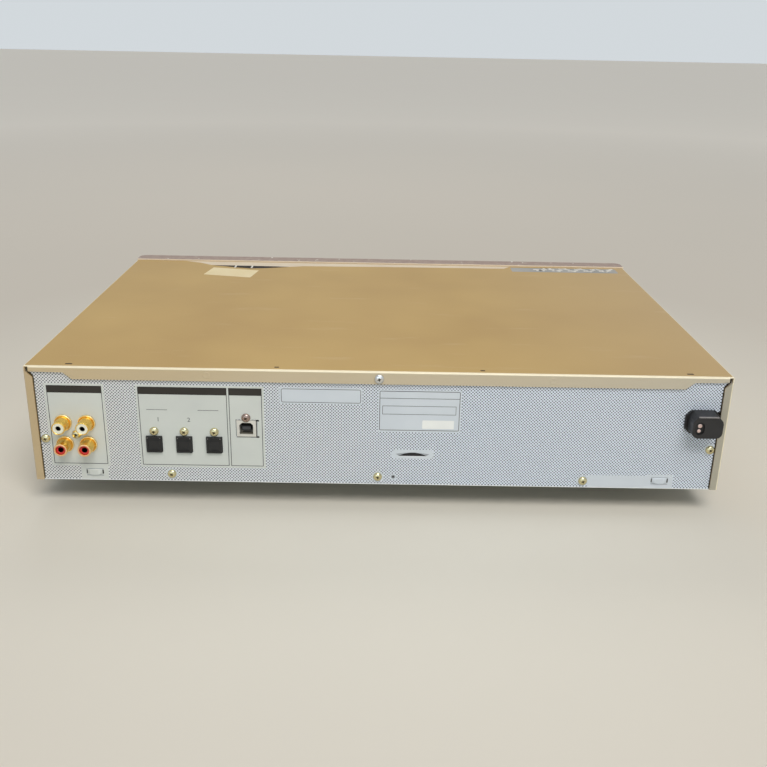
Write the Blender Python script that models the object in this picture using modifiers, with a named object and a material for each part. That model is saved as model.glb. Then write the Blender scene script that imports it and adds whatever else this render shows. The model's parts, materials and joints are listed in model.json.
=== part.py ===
"""Slot-loading minidisc deck, modelled piece by piece in metres, +Z up.

The front panel faces -Y, the jacks face +Y, and the origin is the centre of the
base of the whole deck, on the surface that the feet stand on.
"""

import math

import bmesh
import bpy
from mathutils import Matrix, Vector

# Driving dimensions
cover_width = 0.430
cover_depth = 0.258
cover_height = 0.077
stand_height = 0.018
panel_depth = 0.014
panel_rise = 0.001
knob_reach = 0.008
cord_reach = 0.010
jack_reach = 0.008

# Stock, clearances and cuts
sheet = 0.001
board_thickness = 0.0016
moulding_wall = 0.003
fit_gap = 0.0003
button_gap = 0.0004
overrun = 0.002
edge_round = 0.0008

# Folded cover
fold_radius = 0.0012
lip_height = 0.0083
lip_narrow_height = 0.004
lip_full_inset = 0.029
lip_slope_inset = 0.0237
lip_end_inset = 0.003
flange_width = 0.005
flange_drop = 0.0035
flange_chamfer = 0.004

# Chassis pan
pan_wall_height = 0.012
vent_length = 0.030
vent_width = 0.003
vent_pitch = 0.007
vent_count = 8
vent_group_x = 0.105
vent_group_y = 0.005
standoff_radius = 0.0035
board_height = 0.016

# Feet
foot_radius = 0.022
foot_pad_radius = 0.019
foot_step_height = 0.003
foot_inset_x = 0.050
foot_inset_front = 0.040
foot_inset_rear = 0.065

# Front panel
panel_corner = 0.006
row_high = 0.053
row_low = 0.019
window_inset_left = 0.069
window_inset_right = 0.129
window_height = 0.034
slot_inset = 0.115
slot_width = 0.076
slot_height = 0.009
board_setback = 0.009
notch_width = 0.088
notch_drop = 0.013
tube_gap_left = 0.020
tube_gap_right = 0.008
tube_height = 0.024
tube_depth = 0.0045

# Slot door
door_thickness = 0.0014
door_setback = 0.0010
door_axis_drop = 0.0012

# Buttons
button_proud = 0.002
button_travel = 0.0012
button_flange = 0.001
button_flange_thickness = 0.001
stem_radius = 0.0015
power_inset = 0.023
power_radius = 0.007
eject_offset = 0.050
eject_width = 0.012
eject_height = 0.008
key_width = 0.017
key_height = 0.0075
key_pitch = 0.0215
key_last_inset = 0.1475
menu_radius = 0.0036
menu_pitch = 0.022
enter_inset = 0.077

# Knobs, socket and switch
jog_inset = 0.087
jog_radius = 0.0175
jog_gap = 0.0016
jog_travel = 0.0010
jog_dish_radius = 0.013
jog_dish_depth = 0.0012
spindle_radius = 0.003
spindle_clearance = 0.0005
level_inset = 0.033
level_radius = 0.012
level_proud = 0.007
phones_knob_inset = 0.075
phones_knob_radius = 0.0055
phones_knob_proud = 0.0065
knob_taper = 0.0008
pointer_width = 0.001
pot_size = 0.011
pot_depth = 0.003
phones_jack_inset = 0.049
jack_bore_radius = 0.0033
jack_bore_depth = 0.016
jack_body_radius = 0.0052
jack_nose_radius = 0.0044
jack_nut_radius = 0.0065
jack_nut_height = 0.0015
switch_travel = 0.0045
switch_nub_width = 0.005
switch_nub_height = 0.003
switch_plate_height = 0.006

# Rear sockets, heights above the lower edge of the cover
rca_inset = 0.0276
rca_z = 0.032
rca_pitch = 0.0145
rca_barrel_radius = 0.00415
rca_flange_radius = 0.0054
rca_flange_thickness = 0.0008
rca_bore_radius = 0.0035
rca_pin_radius = 0.00165
rca_recess = 0.0006
rca_block_width = 0.028
rca_block_depth = 0.012
optical_inset = 0.0943
optical_pitch = 0.0186
optical_z = 0.0258
optical_width = 0.0097
optical_height = 0.0108
optical_proud = 0.0015
optical_depth = 0.014
optical_wall = 0.0011
optical_cavity_depth = 0.0105
optical_boss_top = 0.0385
shutter_thickness = 0.0007
shutter_setback = 0.0004
shutter_axis_drop = 0.0006
usb_inset = 0.1332
usb_z = 0.0373
usb_width = 0.012
usb_height = 0.0108
usb_proud = 0.0005
usb_depth = 0.016
usb_opening_width = 0.00845
usb_opening_height = 0.00778
usb_opening_chamfer = 0.0016
usb_tongue_width = 0.0056
usb_tongue_height = 0.0032
usb_cutout_side = 0.0016
usb_floor = 0.003
crescent_x = -0.0213
crescent_z = 0.0205
crescent_half = 0.0092
crescent_rise = 0.0024
crescent_edge = 0.0004

# Cord entry
cord_inset = 0.0160
cord_z = 0.0473
bushing_width = 0.0183
bushing_height = 0.0130
bushing_flange_width = 0.0213
bushing_flange_height = 0.0152
bushing_flange_thickness = 0.0015
bushing_chamfer = 0.0035
bushing_neck_height = 0.0120
bushing_inner_depth = 0.004
cord_offset = 0.0050
cord_width = 0.0054
cord_height = 0.0078
cord_tail = 0.012
notch_reach = 0.0250
notch_height = 0.0126

# Boards and power supply
main_board_side_gap = 0.0077
main_board_depth = 0.150
main_board_gap = 0.001
board_spacing = 0.021
chip_height = 0.003
power_board_gap = 0.029
power_board_width = 0.086
power_board_depth = 0.104
transformer_inset = 0.053
transformer_y = 0.072
core_width = 0.064
core_height = 0.052
core_depth = 0.026
core_window_width = 0.011
core_window_height = 0.032
core_leg_width = 0.020
coil_depth = 0.046
coil_clearance = 0.0005
fin_count = 7
fin_pitch = 0.0065
fin_thickness = 0.0015
fin_length = 0.014
sink_base = 0.003
sink_height = 0.036
can_radius = 0.008
can_height = 0.030

# Disc mechanism
deck_drop = 0.018
deck_thickness = 0.0015
deck_front_setback = 0.0125
holder_width = 0.075
holder_length = 0.070
holder_height = 0.0066
holder_sheet = 0.0008
holder_rail = 0.006
holder_drop = 0.005
holder_clearance = 0.0007
deck_wall = 0.0012
deck_wall_top = 0.008
deck_length = 0.112
leg_size = 0.008
hub_setback = 0.036
hub_radius = 0.003
turntable_radius = 0.008
turntable_rise = 0.0085
turntable_thickness = 0.0015
hub_rise = 0.002
motor_radius = 0.011
motor_height = 0.008
shaft_radius = 0.0012
shaft_clearance = 0.0003
sled_width = 0.048
sled_length = 0.026
sled_height = 0.006
sled_rise = 0.001
sled_travel = 0.020
lens_radius = 0.0035
lens_height = 0.0012
rod_offset = 0.018
rod_radius = 0.0015
rod_clearance = 0.0004
rod_rise = 0.004
bearing_size = 0.006
arm_width = 0.010
arm_post_depth = 0.004
arm_thickness = 0.0015
arm_axis_rise = 0.026
arm_reach = 0.0325
arm_lift = 0.0025
head_length = 0.008
head_drop = 0.004
head_notch_gap = 0.001
pin_radius = 0.0012
pin_slot_clearance = 0.0004
pin_spread = 0.044
slider_thickness = 0.0012
slider_travel = 0.012
slider_length = 0.088
slider_rise = 0.007
slider_web = 0.0012
gear_module = 0.0008
gear_teeth = 20
gear_width = 0.0024
tooth_backlash = 0.00036
tooth_base_share = 1.25
tooth_tip_share = 0.45
rack_base_share = 0.65
rack_tip_share = 0.22
axle_radius = 0.0015

# Sizes worked out from the driving dimensions
total_depth = knob_reach + panel_depth + cover_depth + cord_reach
cover_back = total_depth / 2 - cord_reach
cover_front = cover_back - cover_depth
cover_bottom = stand_height
cover_top = stand_height + cover_height
cover_half = cover_width / 2
inner_half = cover_half - sheet - fit_gap
lip_full_half = cover_half - lip_full_inset
lip_slope_half = cover_half - lip_slope_inset
lip_end_half = cover_half - lip_end_inset
face_y = cover_front - panel_depth
wall_y = face_y + moulding_wall
board_y = face_y + board_setback
rear_face = cover_back - sheet - fit_gap
rear_inner = rear_face - sheet
floor_z = cover_bottom + sheet
panel_top = cover_top + panel_rise
high_z = cover_bottom + row_high
low_z = cover_bottom + row_low
board_z = floor_z + board_height
board_top = board_z + board_thickness

# Places across the front, from the ends of the panel
window_left = window_inset_left - cover_half
window_right = cover_half - window_inset_right
window_width = window_right - window_left
window_x = (window_left + window_right) / 2
slot_x = slot_inset - cover_half
eject_x = slot_x + eject_offset
tube_left = eject_x + tube_gap_left
tube_right = window_right - tube_gap_right
power_x = power_inset - cover_half
phones_knob_x = phones_knob_inset - cover_half
phones_jack_x = phones_jack_inset - cover_half
key_last_x = cover_half - key_last_inset
enter_x = cover_half - enter_inset
jog_x = cover_half - jog_inset
level_x = cover_half - level_inset

# Places across the back, and inside
rca_x = cover_half - rca_inset
optical_x = cover_half - optical_inset
usb_x = cover_half - usb_inset
cord_x = cord_inset - cover_half
notch_inner_x = notch_reach - cover_half
transformer_x = transformer_inset - cover_half
power_board_left = transformer_x + core_width / 2 + power_board_gap
power_board_x = power_board_left + power_board_width / 2
main_board_left = power_board_left + power_board_width + board_spacing
main_board_right = inner_half - main_board_side_gap
main_board_width = main_board_right - main_board_left
main_board_x = (main_board_left + main_board_right) / 2

turns = {"X": (0, math.pi / 2, 0), "Y": (-math.pi / 2, 0, 0), "Z": (0, 0, 0)}
plate_turns = {"X": (math.pi / 2, 0, math.pi / 2), "Y": (math.pi / 2, 0, 0), "Z": (0, 0, 0)}

champagne = ((0.62, 0.50, 0.34), 0.35, 0.7)
gold_paint = ((0.52, 0.41, 0.22), 0.45, 0.3)
rear_paint = ((0.66, 0.70, 0.74), 0.5, 0.2)
plain_steel = ((0.60, 0.60, 0.58), 0.35, 1.0)
gold_plate = ((0.80, 0.58, 0.20), 0.25, 1.0)
black_plastic = ((0.02, 0.02, 0.02), 0.45, 0.0)
smoked = ((0.03, 0.03, 0.035), 0.08, 0.0)
rubber = ((0.03, 0.03, 0.03), 0.8, 0.0)
white_plastic = ((0.85, 0.83, 0.78), 0.4, 0.0)
red_plastic = ((0.70, 0.05, 0.04), 0.4, 0.0)
green_board = ((0.05, 0.22, 0.08), 0.5, 0.0)
winding_tape = ((0.75, 0.62, 0.16), 0.5, 0.0)
glass = ((0.45, 0.52, 0.52), 0.05, 0.0)
amber_plastic = ((0.55, 0.42, 0.25), 0.5, 0.0)


# Scene, collections and materials


def clear_scene():
    for obj in list(bpy.data.objects):
        bpy.data.objects.remove(obj, do_unlink=True)


def new_collection(name):
    collection = bpy.data.collections.new(name)
    bpy.context.scene.collection.children.link(collection)
    return collection


clear_scene()
parts = new_collection("minidisc_deck")
cutters = new_collection("cutters")


def coat(obj, finish):
    colour, roughness, metallic = finish
    material = bpy.data.materials.new(obj.name + "_finish")
    material.use_nodes = True
    shader = material.node_tree.nodes["Principled BSDF"]
    shader.inputs["Base Color"].default_value = (*colour, 1)
    shader.inputs["Roughness"].default_value = roughness
    shader.inputs["Metallic"].default_value = metallic
    obj.data.materials.clear()
    obj.data.materials.append(material)
    return obj


def as_tool(obj):
    """Moves a helper to the cutters, where it isn't part of the deck."""
    for collection in list(obj.users_collection):
        collection.objects.unlink(obj)
    cutters.objects.link(obj)
    obj.hide_render = True
    obj.display_type = "WIRE"
    return obj


# Shapes


def from_bmesh(name, shape):
    mesh = bpy.data.meshes.new(name)
    shape.to_mesh(mesh)
    shape.free()
    obj = bpy.data.objects.new(name, mesh)
    parts.objects.link(obj)
    return obj


def smooth(obj):
    obj.data.shade_smooth()
    obj.data.set_sharp_from_angle(angle=math.radians(35))
    return obj


def rounded(obj, width, segments=1):
    bevel = obj.modifiers.new("rounded", "BEVEL")
    bevel.width = width
    bevel.segments = segments
    bevel.limit_method = "ANGLE"
    bevel.angle_limit = math.radians(50)
    return obj


def block(name, size, centre):
    shape = bmesh.new()
    bmesh.ops.create_cube(shape, size=1)
    bmesh.ops.scale(shape, vec=Vector(size), verts=shape.verts)
    obj = from_bmesh(name, shape)
    obj.location = centre
    return obj


def span_block(name, low, high):
    """A box between two opposite corners."""
    low, high = Vector(low), Vector(high)
    return block(name, high - low, (low + high) / 2)


def blocks(name, size, centres):
    """Equal boxes in one helper mesh, for a row of cuts or bosses."""
    shape = bmesh.new()
    for centre in centres:
        made = bmesh.ops.create_cube(shape, size=1)["verts"]
        bmesh.ops.scale(shape, vec=Vector(size), verts=made)
        bmesh.ops.translate(shape, vec=Vector(centre), verts=made)
    return from_bmesh(name, shape)


def rod(name, radius, start, end, axis, across, sides=20):
    """A cylinder along one axis from start to end; across gives its two other coordinates."""
    shape = bmesh.new()
    bmesh.ops.create_cone(
        shape,
        cap_ends=True,
        segments=sides,
        radius1=radius,
        radius2=radius,
        depth=abs(end - start),
    )
    obj = from_bmesh(name, shape)
    middle = (start + end) / 2
    places = {
        "X": (middle, *across),
        "Y": (across[0], middle, across[1]),
        "Z": (*across, middle),
    }
    obj.location = places[axis]
    obj.rotation_euler = turns[axis]
    return smooth(obj)


def turned(name, profile, centre, axis="Z", sides=24, closed=False):
    """A turned solid. The profile of (radius, height) runs down its outer side."""
    mesh = bpy.data.meshes.new(name)
    points = [(radius, 0, height) for radius, height in profile]
    edges = [(i, i + 1) for i in range(len(points) - 1)]
    if closed:
        edges.append((len(points) - 1, 0))
    mesh.from_pydata(points, edges, [])
    obj = bpy.data.objects.new(name, mesh)
    parts.objects.link(obj)
    screw = obj.modifiers.new("turned", "SCREW")
    screw.axis = "Z"
    screw.steps = sides
    screw.render_steps = sides
    screw.use_merge_vertices = True
    screw.merge_threshold = fit_gap / 100
    screw.use_smooth_shade = False
    obj.location = centre
    obj.rotation_euler = turns[axis]
    return obj


def plate(name, outlines, thickness, centre, facing):
    """A flat outline with holes, extruded by its thickness along the axis it faces."""
    curve = bpy.data.curves.new(name, "CURVE")
    curve.dimensions = "2D"
    curve.fill_mode = "BOTH"
    curve.extrude = thickness / 2
    for outline in outlines:
        spline = curve.splines.new("POLY")
        spline.points.add(len(outline) - 1)
        for point, (across, up) in zip(spline.points, outline):
            point.co = (across, up, 0, 1)
        spline.use_cyclic_u = True
    guide = bpy.data.objects.new(name + "_outline", curve)
    parts.objects.link(guide)
    guide.location = centre
    guide.rotation_euler = plate_turns[facing]
    bpy.context.view_layer.update()
    evaluated = guide.evaluated_get(bpy.context.evaluated_depsgraph_get())
    mesh = bpy.data.meshes.new_from_object(evaluated)
    mesh.name = name
    shape = bmesh.new()
    shape.from_mesh(mesh)
    bmesh.ops.remove_doubles(shape, verts=shape.verts, dist=fit_gap / 100)
    bmesh.ops.recalc_face_normals(shape, faces=shape.faces)
    shape.to_mesh(mesh)
    shape.free()
    obj = bpy.data.objects.new(name, mesh)
    obj.matrix_world = guide.matrix_world
    parts.objects.link(obj)
    bpy.data.objects.remove(guide)
    return obj


def cut(target, *tools):
    for tool in tools:
        modifier = target.modifiers.new("cut_" + tool.name, "BOOLEAN")
        modifier.operation = "DIFFERENCE"
        modifier.object = as_tool(tool)
    return target


def join(target, *tools):
    for tool in tools:
        modifier = target.modifiers.new("join_" + tool.name, "BOOLEAN")
        modifier.operation = "UNION"
        modifier.object = as_tool(tool)
    return target


def on_axis(obj, name, point):
    """Hangs a moving piece on an empty that stands on its joint's axis."""
    axis = bpy.data.objects.new(name, None)
    axis.empty_display_size = edge_round
    parts.objects.link(axis)
    axis.location = point
    bpy.context.view_layer.update()
    obj.parent = axis
    obj.matrix_parent_inverse = Matrix.Translation(-Vector(point))
    return obj


# Outlines


def arc(centre, radius, start, end, steps):
    """Points on an arc, angles in degrees, both ends included."""
    angles = [math.radians(start + (end - start) * i / steps) for i in range(steps + 1)]
    return [(centre[0] + radius * math.cos(a), centre[1] + radius * math.sin(a)) for a in angles]


def ring(centre, radius, sides=16):
    return arc(centre, radius, 0, 360, sides)[:-1]


def rectangle(low, high):
    return [(low[0], low[1]), (high[0], low[1]), (high[0], high[1]), (low[0], high[1])]


def centred(centre, width, height):
    half = (width / 2, height / 2)
    return rectangle(
        (centre[0] - half[0], centre[1] - half[1]), (centre[0] + half[0], centre[1] + half[1])
    )


def rounded_rectangle(centre, width, height, radius, steps=4):
    across, up = width / 2 - radius, height / 2 - radius
    corners = [(across, up, 0), (-across, up, 90), (-across, -up, 180), (across, -up, 270)]
    points = []
    for x, z, start in corners:
        points += arc((centre[0] + x, centre[1] + z), radius, start, start + 90, steps)
    return points


def mirrored(points):
    """The same points on the other side, in the order that closes an outline."""
    return [(-x, z) for x, z in reversed(points)]


# Housing


def make_cover():
    """Top and sides folded from one sheet, with a rear lip and two rear flanges."""
    half, top, bottom = cover_half, cover_top, cover_bottom
    corner = (half - fold_radius, top - fold_radius)
    outer = [(half, bottom)] + arc(corner, fold_radius, 0, 90, 4)
    inner = [(half - sheet, bottom)] + arc(corner, fold_radius - sheet, 0, 90, 4)
    section = outer + mirrored(outer) + list(reversed(mirrored(inner))) + list(reversed(inner))
    depth = cover_depth - sheet / 2
    cover = plate("top_cover", [section], depth, (0, cover_front + depth / 2, 0), "Y")
    edge = [
        (lip_full_half, top - lip_height),
        (lip_slope_half, top - lip_narrow_height),
        (lip_end_half, top - lip_narrow_height + fit_gap),
        (lip_end_half, top - sheet / 2),
    ]
    lip_y = cover_back - sheet / 2
    lip = plate("lip", [edge + mirrored(edge)], sheet, (0, lip_y, 0), "Y")
    tools = [lip]
    flange_top = top - flange_drop
    flange_bottom = bottom + fit_gap
    flange = [
        (half - sheet / 2, flange_bottom),
        (half - sheet / 2, flange_top),
        (half - flange_width + flange_chamfer, flange_top),
        (half - flange_width, flange_top - flange_chamfer),
        (half - flange_width, flange_bottom),
    ]
    for name, outline in (("flange_right", flange), ("flange_left", mirrored(flange))):
        tools.append(plate(name, [outline], sheet, (0, lip_y, 0), "Y"))
    join(cover, *tools)
    back = cover_back - fold_radius
    top_bend = [(cover_back + overrun, top + overrun), (back, top + overrun)]
    top_bend += reversed(arc((back, top - fold_radius), fold_radius, 0, 90, 4))
    top_bend.append((cover_back + overrun, top - fold_radius))
    cut(cover, plate("top_bend", [top_bend], cover_width + overrun, (0, 0, 0), "X"))
    rear = cover_back + overrun
    side_bend = [(half + overrun, rear), (half - fold_radius, rear)]
    side_bend += reversed(arc((half - fold_radius, back), fold_radius, 0, 90, 4))
    side_bend.append((half + overrun, back))
    tall = cover_height + 2 * overrun
    for name, outline in (("bend_right", side_bend), ("bend_left", mirrored(side_bend))):
        cut(cover, plate(name, [outline], tall, (0, 0, (top + bottom) / 2), "Z"))
    coat(cover, gold_paint)


def pan_tray():
    shape = bmesh.new()
    bmesh.ops.create_cube(shape, size=1)
    size = (2 * inner_half, rear_inner - cover_front - 2 * fit_gap, pan_wall_height)
    bmesh.ops.scale(shape, vec=Vector(size), verts=shape.verts)
    top = [face for face in shape.faces if face.normal.z > 0.5]
    bmesh.ops.delete(shape, geom=top, context="FACES")
    pan = from_bmesh("chassis_pan", shape)
    pan.location = (0, (rear_inner + cover_front) / 2, cover_bottom + pan_wall_height / 2)
    shell = pan.modifiers.new("sheet", "SOLIDIFY")
    shell.thickness = sheet
    shell.offset = -1
    shell.use_even_offset = True
    return pan


def board_corners(x, width, depth):
    """Standoff places under a board whose rear edge lies just ahead of the rear panel."""
    rear = rear_inner - main_board_gap
    inset = 2 * standoff_radius
    return [
        (x + side * (width / 2 - inset), y)
        for side in (-1, 1)
        for y in (rear - inset, rear - depth + inset)
    ]


def make_pan():
    """Bottom tray with vent slots between the feet and standoffs for the two boards."""
    pan = pan_tray()
    for side in (-1, 1):
        places = [
            (side * vent_group_x + (i - (vent_count - 1) / 2) * vent_pitch, vent_group_y, floor_z)
            for i in range(vent_count)
        ]
        size = (vent_width, vent_length, overrun)
        cut(pan, blocks("vents_right" if side > 0 else "vents_left", size, places))
    spots = board_corners(main_board_x, main_board_width, main_board_depth)
    spots += board_corners(power_board_x, power_board_width, power_board_depth)
    low, high = floor_z - sheet / 2, board_z - fit_gap
    for i, spot in enumerate(spots):
        join(pan, rod(f"standoff_{i}", standoff_radius, low, high, "Z", spot, 10))
    coat(pan, plain_steel)


def make_feet():
    height = stand_height - fit_gap
    profile = [
        (0, height),
        (foot_radius, height),
        (foot_radius, height - foot_step_height),
        (foot_pad_radius, foot_step_height / 2),
        (foot_pad_radius - foot_step_height / 2, 0),
        (0, 0),
    ]
    rows = {"front": cover_front + foot_inset_front, "rear": cover_back - foot_inset_rear}
    for row, y in rows.items():
        for side, sign in (("left", -1), ("right", 1)):
            place = (sign * (cover_half - foot_inset_x), y, 0)
            foot = turned(f"foot_{row}_{side}", profile, place, sides=20)
            coat(foot, rubber)


def crescent():
    """The arched slot that is lanced into the rear panel."""
    steps = 6
    z = cover_bottom + crescent_z
    xs = [crescent_x + crescent_half * (2 * i / steps - 1) for i in range(steps + 1)]
    shares = [1 - (2 * i / steps - 1) ** 2 for i in range(steps + 1)]
    upper = [(x, z + crescent_edge + crescent_rise * share) for x, share in zip(xs, shares)]
    lower = [(x, z + crescent_rise * share / 2) for x, share in zip(xs, shares)]
    return lower + list(reversed(upper))


def rca_places():
    z = cover_bottom + rca_z
    half = rca_pitch / 2
    return {
        "out_left": (rca_x - half, z + half),
        "in_left": (rca_x + half, z + half),
        "out_right": (rca_x - half, z - half),
        "in_right": (rca_x + half, z - half),
    }


def optical_places():
    z = cover_bottom + optical_z
    names = ("out", "in_2", "in_1")
    return {name: (optical_x + (i - 1) * optical_pitch, z) for i, name in enumerate(names)}


def make_rear_panel():
    """Back plate with its socket cut-outs and a cord notch that is open to the side."""
    z_cord = cover_bottom + cord_z
    top = cover_top - sheet - fit_gap
    notch = (z_cord - notch_height / 2, z_cord + notch_height / 2)
    outer = [
        (-inner_half, cover_bottom),
        (inner_half, cover_bottom),
        (inner_half, top - fold_radius),
        (inner_half - fold_radius, top),
        (-inner_half + fold_radius, top),
        (-inner_half, top - fold_radius),
        (-inner_half, notch[1]),
        (notch_inner_x, notch[1]),
        (notch_inner_x, notch[0]),
        (-inner_half, notch[0]),
    ]
    holes = [ring(place, rca_bore_radius + fit_gap, 12) for place in rca_places().values()]
    for place in optical_places().values():
        holes.append(centred(place, optical_width + 2 * fit_gap, optical_height + 2 * fit_gap))
    usb_place = (usb_x, cover_bottom + usb_z)
    wide, high = usb_width + 2 * usb_cutout_side, usb_height + 2 * fit_gap
    holes.append(centred(usb_place, wide, high))
    holes.append(crescent())
    panel = plate("rear_panel", [outer, *holes], sheet, (0, rear_face - sheet / 2, 0), "Y")
    coat(panel, rear_paint)


# Front panel and what shows on it


def key_names():
    return ("play", "pause", "stop", "search_back", "search_forward", "record")


def key_x(index):
    return key_last_x - (len(key_names()) - 1 - index) * key_pitch


def menu_places():
    return {"menu": enter_x - menu_pitch, "enter": enter_x}


def hole_block(name, x, z, width, height):
    low = (x - width / 2, face_y - overrun, z - height / 2)
    high = (x + width / 2, wall_y + overrun, z + height / 2)
    return span_block(name, low, high)


def hole_rod(name, x, z, radius, sides=20):
    return rod(name, radius, face_y - overrun, wall_y + overrun, "Y", (x, z), sides)


def make_front_panel():
    """Hollow moulding, open at the back, with rounded ends and its control openings."""
    half = cover_half
    corner = (half - panel_corner, face_y + panel_corner)
    right = [(half, cover_front - fit_gap)] + arc(corner, panel_corner, 0, -90, 6)
    middle = (cover_bottom + panel_top) / 2
    tall = panel_top - cover_bottom
    panel = plate("front_panel", [right + mirrored(right)], tall, (0, 0, middle), "Z")
    rounded(panel, edge_round)
    pocket = span_block(
        "pocket",
        (-half + moulding_wall, wall_y, cover_bottom + moulding_wall),
        (half - moulding_wall, cover_front + overrun, panel_top - moulding_wall),
    )
    rounded(pocket, moulding_wall / 2)
    gap = 2 * button_gap
    wide, high = window_width + 2 * fit_gap, window_height + 2 * fit_gap
    tools = [
        pocket,
        hole_block("window_hole", window_x, high_z, wide, high),
        hole_rod("power_hole", power_x, high_z, power_radius + button_gap),
        hole_rod("jog_hole", jog_x, high_z, spindle_radius + spindle_clearance, 12),
        hole_rod("level_hole", level_x, high_z, spindle_radius + spindle_clearance, 12),
        hole_rod("phones_knob_hole", phones_knob_x, low_z, spindle_radius + spindle_clearance, 12),
        hole_rod("phones_jack_hole", phones_jack_x, low_z, jack_nose_radius + fit_gap, 16),
    ]
    switch_slot = switch_nub_width + 2 * switch_travel + gap
    tools.append(hole_block("switch_hole", power_x, low_z, switch_slot, switch_nub_height + gap))
    for i, name in enumerate(key_names()):
        tools.append(hole_block(name + "_hole", key_x(i), low_z, key_width + gap, key_height + gap))
    for name, x in menu_places().items():
        tools.append(hole_rod(name + "_hole", x, low_z, menu_radius + button_gap, 16))
    cut(panel, *tools)
    coat(panel, champagne)


def make_window():
    """Smoked strip in front of the display, pierced by the disc slot and the eject button."""
    outer = rounded_rectangle((window_x, high_z), window_width, window_height, edge_round, 2)
    slot = centred((slot_x, high_z), slot_width, slot_height)
    gap = 2 * button_gap
    eject = centred((eject_x, high_z), eject_width + gap, eject_height + gap)
    middle = (0, face_y + moulding_wall / 2, 0)
    window = plate("display_window", [outer, slot, eject], moulding_wall, middle, "Y")
    coat(window, smoked)


def make_slot_door():
    """Sprung flap that hangs from pins at its upper edge and swings inwards."""
    top = high_z + slot_height / 2
    axis_z = top - door_axis_drop
    thick_y = face_y + door_setback + door_thickness / 2
    upper = top - door_axis_drop / 2
    lower = high_z - slot_height / 2 + fit_gap
    half = slot_width / 2 - fit_gap
    y_low, y_high = thick_y - door_thickness / 2, thick_y + door_thickness / 2
    door = span_block(
        "slot_door", (slot_x - half, y_low, lower), (slot_x + half, y_high, upper)
    )
    rounded(door, door_thickness / 4)
    coat(door, champagne)
    on_axis(door, "slot_door_axis", (slot_x, thick_y, axis_z))


def button_depths():
    """Where a button's front, flange and stem lie along Y."""
    front = face_y - button_proud
    flange = wall_y + fit_gap
    flange_back = flange + button_flange_thickness
    stem_end = board_y - button_travel - fit_gap
    return front, flange, flange_back, stem_end


def make_stem(name, x, z):
    _, flange, _, stem_end = button_depths()
    return rod(name + "_stem", stem_radius, flange, stem_end, "Y", (x, z), 8)


def square_button(name, x, z, width, height, finish):
    front, flange, flange_back, _ = button_depths()
    low = (x - width / 2, front, z - height / 2)
    high = (x + width / 2, flange + button_flange_thickness / 2, z + height / 2)
    button = rounded(span_block(name, low, high), edge_round)
    wide, tall = width / 2 + button_flange, height / 2 + button_flange
    rim = span_block(name + "_rim", (x - wide, flange, z - tall), (x + wide, flange_back, z + tall))
    join(button, rim, make_stem(name, x, z))
    coat(button, finish)
    return button


def round_button(name, x, z, radius, finish, sides=20):
    front, flange, flange_back, _ = button_depths()
    rim = radius + button_flange
    profile = [
        (0, flange_back),
        (rim, flange_back),
        (rim, flange),
        (radius, flange),
        (radius, front + edge_round),
        (radius - edge_round, front),
        (0, front),
    ]
    button = turned(name, profile, (x, 0, z), "Y", sides)
    join(button, make_stem(name, x, z))
    coat(button, finish)
    return button


def make_buttons():
    round_button("power_button", power_x, high_z, power_radius, champagne)
    square_button("eject_button", eject_x, high_z, eject_width, eject_height, champagne)
    for i, name in enumerate(key_names()):
        square_button(name + "_button", key_x(i), low_z, key_width, key_height, champagne)
    for name, x in menu_places().items():
        round_button(name + "_button", x, low_z, menu_radius, champagne, 16)


def knob_profile(radius, front, back, shaft_end, dish_radius, dish_depth):
    """A knob with a dished face, on a shaft that runs in through the panel."""
    return [
        (0, shaft_end),
        (spindle_radius, shaft_end),
        (spindle_radius, back),
        (radius, back),
        (radius - knob_taper, front + edge_round),
        (radius - knob_taper - edge_round, front),
        (dish_radius, front),
        (dish_radius - dish_depth, front + dish_depth),
        (0, front + dish_depth),
    ]


def make_level_knob(name, x, z, radius, proud):
    front = face_y - proud
    shaft_end = board_y - pot_depth - fit_gap
    dish = radius / 2
    profile = knob_profile(radius, front, face_y - fit_gap, shaft_end, dish, edge_round)
    knob = turned(name, profile, (x, 0, z), "Y", 24)
    pointer_low = (x - pointer_width / 2, front - overrun, z + dish + edge_round)
    pointer_high = (x + pointer_width / 2, front + edge_round / 2, z + radius + overrun)
    cut(knob, span_block(name + "_pointer", pointer_low, pointer_high))
    coat(knob, champagne)


def make_jog():
    """Push spindle from the encoder, and the jog knob that turns on it."""
    bore = spindle_radius + spindle_clearance / 2
    front = face_y - knob_reach
    back = face_y - jog_gap
    depth = (front + back) / 2
    spindle_end = board_y - pot_depth - jog_travel - fit_gap
    place = (jog_x, high_z)
    shaft = rod("jog_spindle", spindle_radius, depth + fit_gap, spindle_end, "Y", place)
    coat(shaft, plain_steel)
    profile = [
        (0, depth),
        (bore, depth),
        (bore, back),
        (jog_radius, back),
        (jog_radius, front + edge_round),
        (jog_radius - edge_round, front),
        (jog_dish_radius, front),
        (jog_dish_radius - jog_dish_depth, front + jog_dish_depth),
        (0, front + jog_dish_depth),
    ]
    knob = turned("jog_knob", profile, (jog_x, 0, high_z), "Y", 36)
    coat(knob, champagne)


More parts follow.
